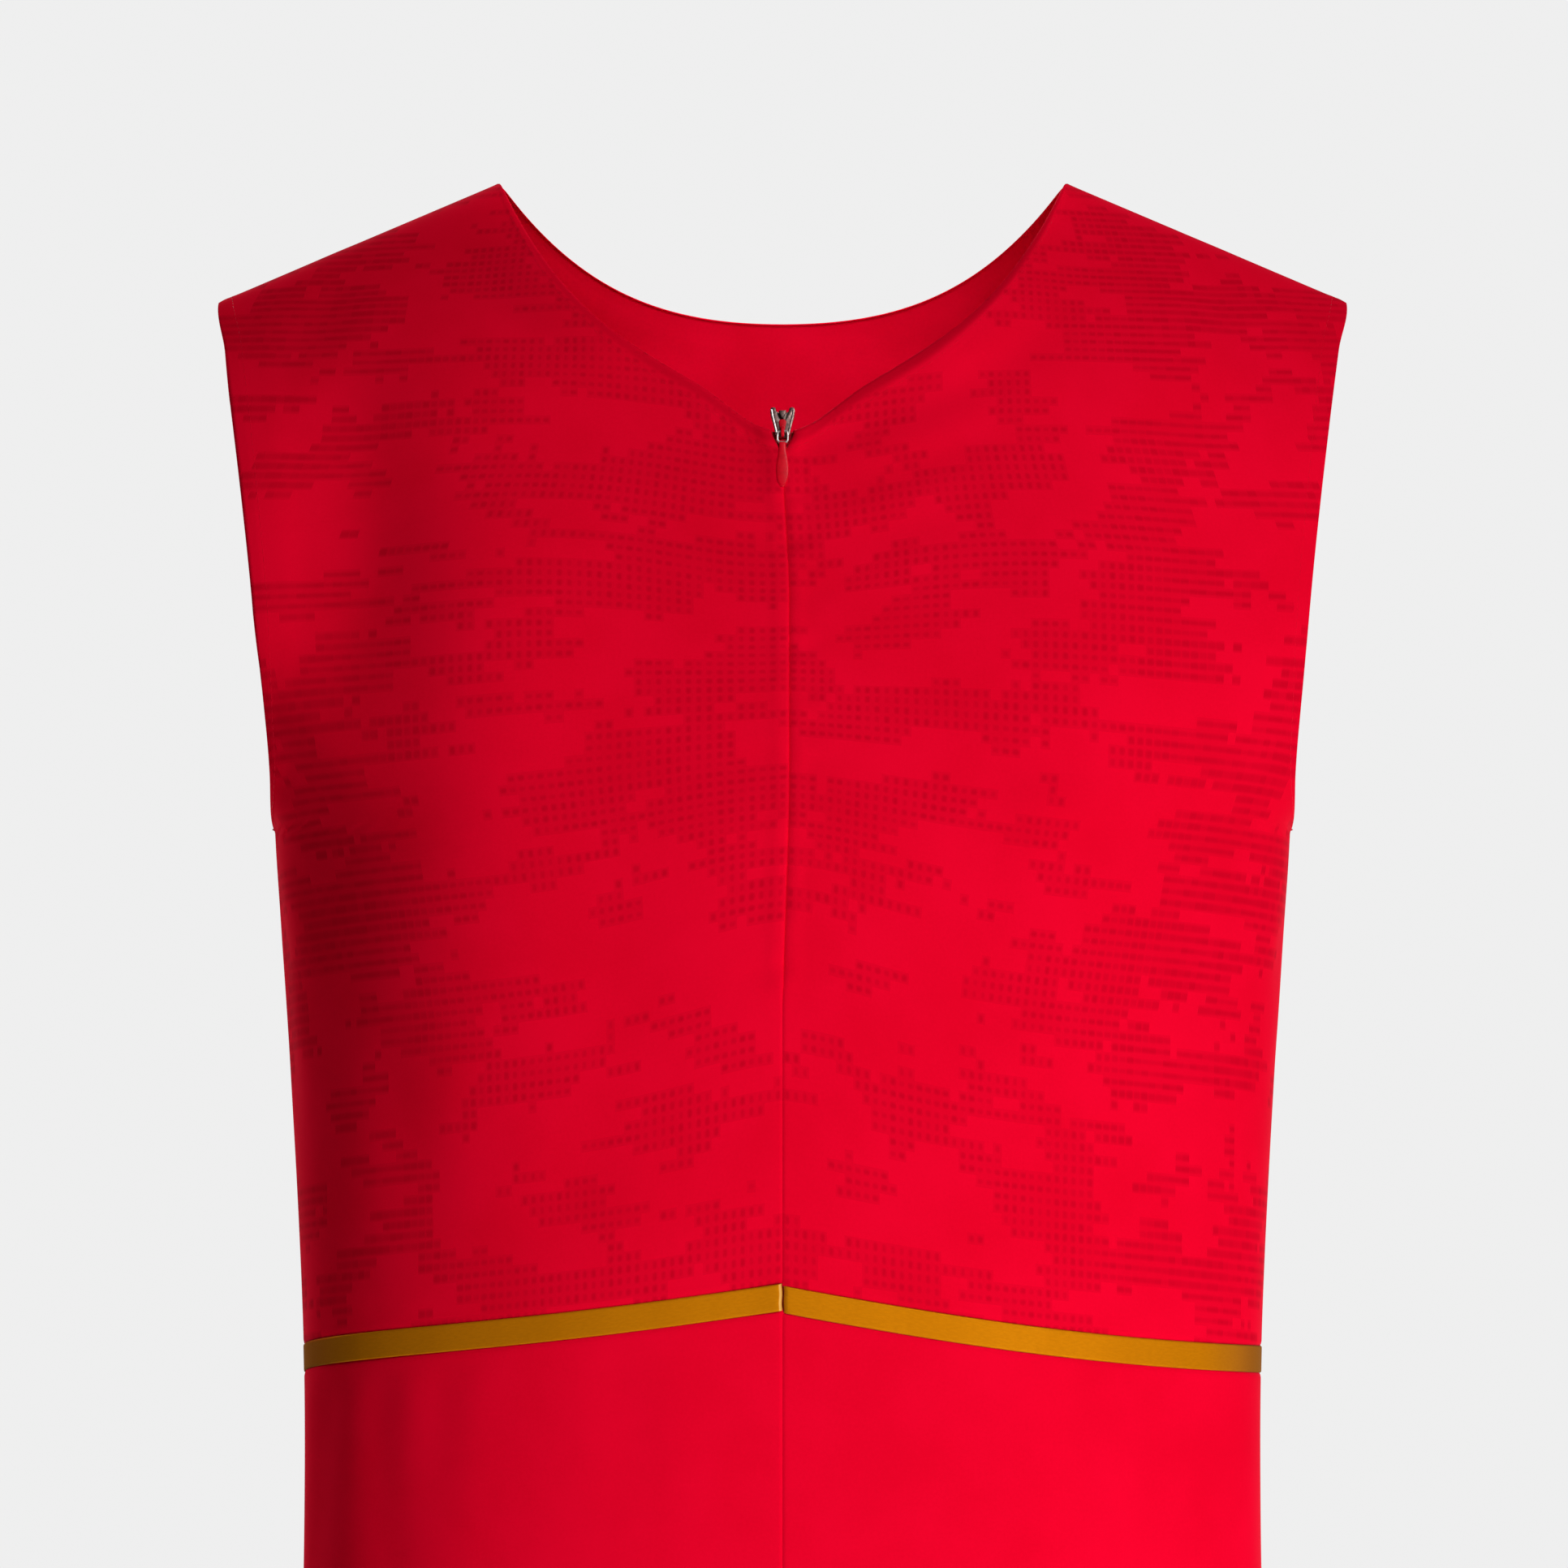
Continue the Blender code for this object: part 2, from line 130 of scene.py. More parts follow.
def read_at(stops: Array, along: Array, vectors: Array) -> Array:
    """Vectors at stops along a path, between those given at its points."""
    return np.stack([np.interp(stops, along, vectors[:, k]) for k in range(3)], axis=-1)


def of_face(face: Face, front: object, back: object) -> object:
    """The front's or the back's value of a size."""
    return front if face is Face.FRONT else back


def of_side(side: Side, right: object, left: object) -> object:
    """The wearer's right or left value of a size."""
    return right if side is Side.RIGHT else left


def across_of(angle: Array, power: Array) -> Array:
    """Share of a superellipse's half width at an angle from its middle."""
    return np.copysign(np.abs(np.sin(angle)) ** (2 / power), angle)


def depth_of(angle: Array, power: Array) -> Array:
    """Share of a superellipse's depth at an angle from its middle."""
    return np.abs(np.cos(angle)) ** (2 / power)


def angle_of(across: Array, power: Array) -> Array:
    """Angle from the middle at a share of the half width."""
    return np.copysign(np.arcsin(np.minimum(1, np.abs(across) ** (power / 2))), across)


def graded(length: float, coarse: float, fine: float, reach: float, start: bool, end: bool) -> Array:
    """Shares of a length, in steps that shrink towards the ends that carry fine detail.

    Args:
        length: Length of the cloth in this direction.
        coarse: Step in the open cloth.
        fine: Step at a detailed end.
        reach: Distance over which the step grows from fine to coarse.
        start: Whether the start is detailed.
        end: Whether the end is detailed.

    Returns:
        Rising shares from 0 to 1.
    """
    places = np.linspace(0, length, 4001)
    near = np.full_like(places, length)
    if start:
        near = np.minimum(near, places)
    if end:
        near = np.minimum(near, length - places)
    step = mix(fine, coarse, np.clip(near / reach, 0, 1))
    turns = np.concatenate([[0], np.cumsum(np.diff(places) / step[:-1])])
    count = max(2, round(turns[-1]))
    return np.interp(np.linspace(0, turns[-1], count + 1), turns, places) / length


# ---------------------------------------------------------------- the worn form


@dataclass(frozen=True)
class Section:
    """One level section of the worn form."""

    height: float
    half_width: float
    front: float
    back: float


@dataclass(frozen=True)
class BodyForm:
    """The hollow form that the worn cloth takes, with the sizes of its cut."""

    face_gap: float = 0.6
    neck_half: float = 99
    shoulder_half: float = 198
    shoulder_drop: float = 42
    shoulder_top: float = 1.9
    neck_drop: tuple[float, float] = (72, 45.9)
    neck_powers: tuple[tuple[float, float], tuple[float, float]] = ((2, 4), (2, 3.6))
    neck_dip: tuple[float, float] = (18.6, 0)
    neck_dip_reach: float = 26
    neck_dip_power: float = 1.6
    arch_height: float = 85
    underarm: float = -226
    armhole_waist: float = -148
    armhole_open: tuple[float, float] = (0.62, 0.46)
    band_top: float = -379.2
    band_fall: float = 27.4
    band_bow: tuple[float, float] = (0.35, 4.0)
    band_wave: tuple[float, float] = (0.5, 0.1)
    band_step: float = 0.4
    band_height: float = 9.0
    split_start: float = -560
    split_power: float = 1.3
    crotch: float = -720
    hem: float = -900
    leg_gap_hem: float = 22
    torso_power: float = 2.3
    leg_power: float = 2.05
    corner_round: float = 1.1
    sections: tuple[Section, ...] = (
        Section(20, 198, 56, 50),
        Section(-42, 197.5, 76, 70),
        Section(-58, 193.3, 81, 75.5),
        Section(-97, 187.1, 93, 88),
        Section(-140, 182.0, 104, 98),
        Section(-183, 178.3, 112, 102),
        Section(-205, 177.3, 114, 102),
        Section(-226, 177.9, 115, 101),
        Section(-311, 172.4, 107, 94),
        Section(-397, 168.2, 100, 91),
        Section(-455, 167.6, 98, 96),
        Section(-520, 169, 99, 108),
        Section(-600, 174, 101, 121),
        Section(-660, 176.5, 100, 122),
        Section(-720, 176, 93, 110),
        Section(-780, 171, 86, 94),
        Section(-900, 160, 72, 76),
    )

    def back_waist(self) -> float:
        """Height of the level seam at the back of the waist."""
        return self.band_top - self.band_fall - self.band_height

    def at_height(self, column: str, height: Array) -> Array:
        """A column of the section table at each height, on a smooth curve.

        Args:
            column: Name of the column.
            height: Heights to read.

        Returns:
            The column's value at each height.
        """
        rows = self.sections[::-1]
        knots = np.array([row.height for row in rows], float)
        values = np.array([getattr(row, column) for row in rows], float)
        slopes = np.empty_like(values)
        slopes[1:-1] = (values[2:] - values[:-2]) / (knots[2:] - knots[:-2])
        slopes[0] = (values[1] - values[0]) / (knots[1] - knots[0])
        slopes[-1] = (values[-1] - values[-2]) / (knots[-1] - knots[-2])
        place = np.clip(height, knots[0], knots[-1])
        i = np.clip(np.searchsorted(knots, place) - 1, 0, len(knots) - 2)
        step = knots[i + 1] - knots[i]
        t = (place - knots[i]) / step
        rise = t * t * (3 - 2 * t)
        lead = t * (1 - t) ** 2 * step * slopes[i]
        trail = t * t * (1 - t) * step * slopes[i + 1]
        return mix(values[i], values[i + 1], rise) + lead - trail

    def split_share(self, height: Array) -> Array:
        """How far the two legs have parted at a height, from 0 to 1."""
        share = (self.split_start - height) / (self.split_start - self.crotch)
        return np.clip(share, 0, 1) ** self.split_power

    def power(self, height: Array) -> Array:
        """Power of the superellipse section at a height."""
        return mix(self.torso_power, self.leg_power, self.split_share(height))

    def ridge_height(self, x: Array) -> Array:
        """Height of the shoulder seam at a distance from the centre."""
        slope = self.shoulder_drop / (self.shoulder_half - self.neck_half)
        return self.shoulder_top - slope * (np.abs(x) - self.neck_half)

    def neck_height(self, face: Face, x: Array) -> Array:
        """Height of the neckline at a distance from the centre."""
        drop = of_face(face, *self.neck_drop)
        first, second = of_face(face, *self.neck_powers)
        share = np.abs(x) / self.neck_half
        near = np.abs(x / self.neck_dip_reach) ** self.neck_dip_power
        dip = of_face(face, *self.neck_dip) * np.exp(-near)
        return self.shoulder_top - drop * (1 - (share**first + share**second) / 2) - dip

    def rounded_top(self, face: Face, x: Array) -> Array:
        """Height of a panel's top edge, with its neck and shoulder corners rounded off."""
        soft = self.corner_round
        sum_of_falls = np.exp(-self.neck_height(face, x) / soft) + np.exp(-self.ridge_height(x) / soft)
        tip = soft * np.exp(-(self.shoulder_half - np.abs(x)) / (2 * soft))
        return -soft * np.log(sum_of_falls) - tip

    def edge_angle(self, face: Face, height: Array) -> Array:
        """Angle of a panel's outer edge: the side seam, or the armhole above it."""
        level = np.clip((height - self.armhole_waist) / (self.underarm - self.armhole_waist), 0, 1)
        opening = of_face(face, *self.armhole_open) * np.sqrt(1 - level**2)
        return np.arccos(opening ** (self.power(height) / 2))

    def inner_angle(self, height: Array) -> Array:
        """Angle of a panel's inner edge: the centre seam, or the inside of the leg."""
        return -angle_of(self.split_share(height), self.power(height))

    def leg_gap(self, height: Array) -> Array:
        """Half of the gap between the legs at a height under the crotch."""
        half = self.at_height("half_width", np.array(float(self.crotch))) / 2
        steep = half * self.split_power / (self.split_start - self.crotch)
        below = np.maximum(self.crotch - height, 0)
        return self.leg_gap_hem * (1 - np.exp(-steep * below / self.leg_gap_hem))

    def point(self, face: Face, angle: Array, height: Array) -> Array:
        """Points of the form on the wearer's left half.

        Args:
            face: Front or back.
            angle: Angles round the section, 0 at its middle.
            height: Heights, as many as angles.

        Returns:
            Points, with x, y and z along the last axis.
        """
        power = self.power(height)
        outer = self.at_height("half_width", height)
        split = self.split_share(height)
        leg_reach = (outer - self.leg_gap(height)) / 2
        is_leg = height <= self.crotch
        reach = np.where(is_leg, leg_reach, outer / (1 + split))
        centre = np.where(is_leg, outer - leg_reach, split * reach)
        reach = reach / across_of(self.edge_angle(face, height), power)
        x = np.maximum(centre + reach * across_of(angle, power), 0)
        below = np.clip((self.ridge_height(x) - height) / self.arch_height, 0, 1)
        closing = np.sqrt(1 - (1 - below) ** 2)
        y = self.at_height(of_face(face, "front", "back"), height) * depth_of(angle, power) * closing
        return np.stack([x, face * np.maximum(y, self.face_gap / 2), height], axis=-1)

    def girth_to(self, face: Face, angle: Array, height: Array) -> Array:
        """Length of cloth round the section, from its inner edge to each angle."""
        start = self.inner_angle(height)
        steps = np.linspace(0, 1, 25).reshape(-1, *([1] * np.ndim(angle)))
        heights = np.broadcast_to(height, steps.shape[:1] + angle.shape)
        points = self.point(face, mix(start, angle, steps), heights)
        return np.linalg.norm(np.diff(points, axis=0), axis=-1).sum(axis=0)

    def girth_share(self, across: Array) -> Array:
        """Share of the front's half girth at the band that lies before each column."""
        angles = np.linspace(0, math.pi / 2, 193)
        level = np.full_like(angles, self.band_top)
        along = lengths(self.point(Face.FRONT, angles, level))
        return np.interp(across * math.pi / 2, angles, along / along[-1])

    def band_line(self, side: Side, across: Array) -> Array:
        """Height of the band's top edge at each column of the front."""
        share = self.girth_share(across)
        bow = of_side(side, *self.band_bow)
        wave = of_side(side, *self.band_wave)
        step = side * self.band_step * (1 - share) ** 2 + wave * np.sin(math.tau * share)
        return self.band_top - self.band_fall * share - bow * np.sin(math.pi * share) - step


# ---------------------------------------------------------------- creases


@dataclass(frozen=True)
class Crease:
    """A soft trough or ridge in the cloth, along a bent line.

    Places are (girth from the centre, height); a negative depth is a trough.
    """

    start: tuple[float, float]
    end: tuple[float, float]
    width: float
    depth: float
    bend: float = 0
    blunt_start: bool = False
    bank: float = 0.4

    def path(self) -> Array:
        """Points along the bent line."""
        start = np.array(self.start, float)
        end = np.array(self.end, float)
        aside = np.array([start[1] - end[1], end[0] - start[0]])
        share = np.linspace(0, 1, 15)[:, None]
        return mix(start, end, share) + aside * self.bend * 4 * share * (1 - share)

    def height(self, girth: Array, level: Array) -> Array:
        """How far the crease moves the cloth out at each place.

        Args:
            girth: Signed girth of each place from the centre.
            level: Height of each place.

        Returns:
            Outward moves.
        """
        path = self.path()
        near = np.full(girth.shape, np.inf)
        along = np.zeros(girth.shape)
        for i, (first, last) in enumerate(zip(path[:-1], path[1:])):
            run = last - first
            share = np.clip(
                ((girth - first[0]) * run[0] + (level - first[1]) * run[1]) / (run @ run), 0, 1
            )
            gap = np.hypot(girth - first[0] - share * run[0], level - first[1] - share * run[1])
            closer = gap < near
            near = np.where(closer, gap, near)
            along = np.where(closer, (i + share) / (len(path) - 1), along)
        fade_in = 1 if self.blunt_start else ease(0, 0.35, along)
        fade = fade_in * ease(0, 0.55, 1 - along)
        banks = hump(np.abs(near) - 1.9 * self.width, 0.9 * self.width)
        return self.depth * fade * (hump(near, self.width) - self.bank * banks)


def zip_puckers() -> list[Crease]:
    """Small puckers that run out from the zip's two lips, unevenly spaced."""
    rng = np.random.default_rng(7)
    found = []
    for side in Side:
        level = -112.0
        while level > -276:
            reach = rng.uniform(10, 24)
            slope = mix(0.30, -0.22, (level + 112) / -164) + rng.uniform(-0.1, 0.1)
            found.append(
                Crease(
                    (side * 0.5, level),
                    (side * reach, level + slope * reach),
                    rng.uniform(2.2, 3.6),
                    -rng.uniform(0.16, 0.42),
                    blunt_start=True,
                )
            )
            level -= rng.uniform(11, 25)
    return found


@dataclass(frozen=True)
class CreaseBook:
    """Every main crease of the garment, listed for each face."""

    front: tuple[Crease, ...] = (
        # the broad hollows between the chest and the armholes, and the broad swell of the ribs
        Crease((-152, -44), (-150, -206), 26, -5.0, 0.02, bank=0),
        Crease((152, -52), (150, -190), 25, -3.2, -0.02, bank=0),
        Crease((-118, -196), (-122, -372), 30, 2.6, 0.02),
        Crease((112, -220), (118, -366), 30, 1.2, -0.02),
        Crease((-84, -206), (-86, -378), 27, 1.3, 0.01, bank=0),
        # the swell of the chest on both sides, and of the shoulders beside the neck
        Crease((-88, -84), (-104, -268), 34, 4.6, -0.04, bank=0.1),
        Crease((96, -96), (104, -300), 34, 3.4, 0.03, bank=0.1),
        Crease((-64, -56), (-104, -2), 15, 1.5, 0.05, True, bank=0),
        Crease((58, -60), (100, -2), 15, 2.2, -0.05, True, bank=0),
        # from the top of the zip towards the shoulders
        Crease((-12, -92), (-118, -30), 7, -0.9, 0.05, True),
        Crease((-10, -104), (-96, -72), 6, -0.6, 0.04, True),
        Crease((-16, -122), (-84, -104), 7, -0.45, 0.05),
        Crease((12, -94), (112, -38), 7, -0.8, -0.05, True),
        Crease((9, -108), (88, -80), 5.5, -0.55, -0.04, True),
        Crease((14, -128), (78, -112), 6, -0.4, -0.03),
        # across the shoulders
        Crease((-150, -24), (-196, -74), 9, -0.7, 0.08),
        Crease((146, -22), (198, -80), 9, -0.7, -0.1),
        # from the armholes and underarms towards the waist
        Crease((-214, -196), (-150, -240), 10, -1.1, 0.1),
        Crease((-236, -232), (-176, -300), 12, -1.0, -0.06),
        Crease((-232, -262), (-196, -344), 10, -0.8, 0.05),
        Crease((216, -190), (156, -226), 9, -0.8, -0.1),
        Crease((238, -236), (182, -292), 11, -0.8, 0.08),
        # soft lights over the ribs, and hollows at the waist
        Crease((72, -226), (124, -208), 9, 0.7, 0.05),
        Crease((56, -302), (120, -284), 11, 0.6, -0.05),
        Crease((-146, -286), (-128, -372), 13, -0.7, 0.04),
        Crease((128, -296), (140, -376), 12, -0.55, -0.05),
        Crease((-60, -318), (-88, -374), 11, -0.4, 0.06),
        # below the band, hanging down the hips
        Crease((-148, -402), (-142, -540), 9, -0.6, 0.03, True),
        Crease((-118, -398), (-124, -500), 8, -0.45, -0.03, True),
        Crease((-172, -408), (-184, -590), 10, -0.7, -0.04, True),
        Crease((-58, -396), (-52, -470), 9, -0.3, 0.04, True),
        Crease((96, -402), (104, -520), 9, -0.4, 0.03, True),
        Crease((156, -410), (164, -560), 10, -0.5, 0.04, True),
        # from the crotch up and out over the thighs
        Crease((-12, -706), (-96, -628), 13, -1.3, 0.12),
        Crease((-10, -676), (-70, -606), 11, -0.9, 0.1),
        Crease((14, -710), (104, -640), 13, -1.2, -0.1),
        Crease((12, -684), (62, -604), 12, -1.0, -0.12),
        Crease((-30, -742), (-120, -716), 12, -0.9, 0.06),
        Crease((28, -748), (116, -728), 11, -0.8, -0.05),
    )
    back: tuple[Crease, ...] = (
        # across the shoulder blades and down the hollow of the back
        Crease((-30, -70), (-140, -46), 9, -2.2, 0.06),
        Crease((34, -76), (132, -42), 9, -2.0, -0.07),
        Crease((-6, -120), (4, -330), 16, -3.0, 0.02),
        Crease((-212, -186), (-140, -236), 11, -3.3, -0.1),
        Crease((214, -182), (148, -226), 10, -3.6, 0.12),
        Crease((-230, -240), (-150, -300), 13, -3.0, 0.08),
        Crease((232, -246), (162, -318), 12, -2.7, -0.06),
        # gathered softly above and below the waist seam
        Crease((-92, -360), (-16, -392), 9, -3.0, 0.07),
        Crease((88, -368), (22, -396), 8, -2.7, -0.08),
        Crease((-150, -372), (-64, -408), 9, -2.2, -0.05),
        Crease((154, -380), (70, -410), 10, -2.2, 0.05),
        Crease((-120, -428), (-30, -452), 9, -2.7, -0.07),
        Crease((126, -430), (44, -458), 9, -2.2, 0.06),
        # under the seat and over the thighs
        Crease((-14, -690), (-110, -668), 14, -1.4, -0.1),
        Crease((16, -694), (118, -664), 13, -1.3, 0.1),
        Crease((-18, -660), (-80, -600), 11, -1.2, 0.1),
        Crease((18, -654), (74, -596), 11, -1.1, -0.1),
        Crease((-34, -752), (-128, -730), 11, -1.1, 0.06),
        Crease((36, -758), (134, -738), 11, -1.0, -0.06),
        Crease((-60, -640), (-150, -612), 12, -1.4, -0.08),
        Crease((70, -632), (156, -618), 11, -1.2, 0.09),
    )
    zip_puckers: tuple[Crease, ...] = field(default_factory=lambda: tuple(zip_puckers()))

    def height(self, face: Face, girth: Array, level: Array, by_zip: bool = False) -> Array:
        """Sum of the creases' outward moves on one face."""
        creases = list(of_face(face, self.front, self.back))
        if by_zip:
            creases += self.zip_puckers
        return sum((crease.height(girth, level) for crease in creases), np.zeros(girth.shape))


# ---------------------------------------------------------------- finishes


CLOTH_MAP = "cloth"
HEM_MAP = "hem"
Colour = tuple[float, float, float, float]


class Graph:
    """Shader nodes of one finish or of the surround, added and linked in short calls."""

    def __init__(self, owner: Material | bpy.types.World) -> None:
        """Empties the owner's node tree."""
        owner.use_nodes = True
        self.owner = owner
        self.tree = owner.node_tree
        self.tree.nodes.clear()

    def node(self, kind: str, inputs: dict | None = None, **settings: object) -> bpy.types.Node:
        """Adds a node.

        Args:
            kind: Blender's name of the node type.
            inputs: Values or sockets for its inputs, by name or index.
            **settings: Properties of the node.

        Returns:
            The node.
        """
        node = self.tree.nodes.new(kind)
        for name, value in settings.items():
            setattr(node, name, value)
        for key, value in (inputs or {}).items():
            if isinstance(value, bpy.types.NodeSocket):
                self.tree.links.new(value, node.inputs[key])
            else:
                node.inputs[key].default_value = value
        return node

    def math(self, operation: str, *values: object) -> Socket:
        """Result of a Math node."""
        return self.node("ShaderNodeMath", dict(enumerate(values)), operation=operation).outputs[0]

    def plus(self, first: object, second: object) -> Socket:
        """Sum of two values."""
        return self.math("ADD", first, second)

    def times(self, first: object, second: object) -> Socket:
        """Product of two values."""
        return self.math("MULTIPLY", first, second)

    def wave(self, place: object, pitch: float) -> Socket:
        """Sine wave of a pitch in millimetres along a place in metres."""
        return self.math("SINE", self.times(place, math.tau / (pitch * MM)))

    def ramp(self, value: object, low: float, high: float, start: float, end: float) -> Socket:
        """Smooth change from start to end while a value goes from low to high."""
        inputs = {"Value": value, "From Min": low, "From Max": high, "To Min": start, "To Max": end}
        return self.node("ShaderNodeMapRange", inputs, interpolation_type="SMOOTHSTEP").outputs[0]

    def blend(self, share: object, first: object, second: object) -> Socket:
        """Mix of two colours."""
        inputs = {0: share, 6: first, 7: second}
        return self.node("ShaderNodeMix", inputs, data_type="RGBA").outputs[2]

    def noise(self, vector: object, scale: float, detail: float = 2, roughness: float = 0.5) -> Socket:
        """Value of a noise texture."""
        inputs = {"Vector": vector, "Scale": scale, "Detail": detail, "Roughness": roughness}
        return self.node("ShaderNodeTexNoise", inputs).outputs[0]

    def vector(self, x: object, y: object, z: object = 0.0) -> Socket:
        """Vector from three parts."""
        return self.node("ShaderNodeCombineXYZ", {0: x, 1: y, 2: z}).outputs[0]

    def split(self, vector: object) -> list[Socket]:
        """The three parts of a vector."""
        return list(self.node("ShaderNodeSeparateXYZ", {0: vector}).outputs)

    def cloth_place(self, layer: str = CLOTH_MAP) -> Socket:
        """Place on the cloth in metres: along a row and up the cloth."""
        return self.node("ShaderNodeUVMap", uv_map=layer).outputs[0]

    def object_place(self) -> Socket:
        """Place in the object's own space, in metres."""
        return self.node("ShaderNodeTexCoord").outputs["Object"]

    def bump(self, height: object, scale: float = 1.0) -> Socket:
        """Normal of a relief, whose height times its scale is in metres."""
        if scale != 1.0:
            height = self.times(height, scale)
        return self.node("ShaderNodeBump", {"Height": height, "Strength": 1.0, "Distance": 1.0}).outputs[0]


@dataclass(frozen=True)
class Finish:
    """A finish between two close tones."""

    name: str
    colour: Colour
    shade: Colour

    def inputs(self, graph: Graph) -> dict:
        """Sockets and values of the finish's shader."""
        raise NotImplementedError

    def material(self) -> Material:
        """Builds the finish."""
        graph = Graph(bpy.data.materials.new(self.name))
        shader = graph.node("ShaderNodeBsdfPrincipled", self.inputs(graph))
        graph.node("ShaderNodeOutputMaterial", {"Surface": shader.outputs[0]})
        return graph.owner


@dataclass(frozen=True)
class KnitFinish(Finish):
    """Smooth stretch knit: fine wales and courses, a soft sheen, slight unevenness."""

    name: str = "Plain red knit"
    colour: Colour = (0.86, 0.0012, 0.024, 1)
    shade: Colour = (0.79, 0.0009, 0.019, 1)
    wale: float = 0.62
    course: float = 0.50
    relief: float = 0.006
    drape: float = 0.10
    roughness: float = 0.62
    sheen: float = 0.18
    sheen_roughness: float = 0.22
    sheen_tint: Colour = (1.0, 0.30, 0.38, 1)

    def loops(self, graph: Graph, along: object, up: object) -> Socket:
        """Height of the knit's loops, from 0 to 1."""
        both = graph.plus(graph.wave(along, self.wale), graph.times(graph.wave(up, self.course), 0.6))
        return graph.ramp(both, -1.6, 1.6, 0.0, 1.0)

    def ground(self, graph: Graph, place: object) -> Socket:
        """Colour of the ground: slow clouds and fine mottling between two reds."""
        clouds = graph.noise(place, 22, 3, 0.55)
        mottle = graph.noise(place, 900, 2, 0.6)
        share = graph.plus(graph.times(clouds, 0.72), graph.times(mottle, 0.28))
        return graph.blend(graph.ramp(share, 0.30, 0.66, 1.0, 0.0), self.colour, self.shade)

    def surface(self, graph: Graph, place: object, along: object, up: object) -> Socket:
        """Height of the loops and of the knit's slight unevenness, in metres."""
        loops = graph.times(self.loops(graph, along, up), self.relief * MM)
        return graph.plus(loops, graph.times(graph.noise(place, 60, 3), self.drape * MM))

    def constants(self) -> dict:
        """Values that are the same all over the cloth."""
        return {
            "Specular IOR Level": 0.0,
            "Sheen Weight": self.sheen,
            "Sheen Roughness": self.sheen_roughness,
            "Sheen Tint": self.sheen_tint,
        }

    def inputs(self, graph: Graph) -> dict:
        """Sockets and values of the finish's shader."""
        place = graph.cloth_place()
        along, up, _ = graph.split(place)
        rough = graph.ramp(graph.noise(place, 240), 0.3, 0.7, self.roughness - 0.05, self.roughness + 0.06)
        return self.constants() | {
            "Base Color": self.ground(graph, place),
            "Roughness": rough,
            "Normal": graph.bump(self.surface(graph, place, along, up)),
        }


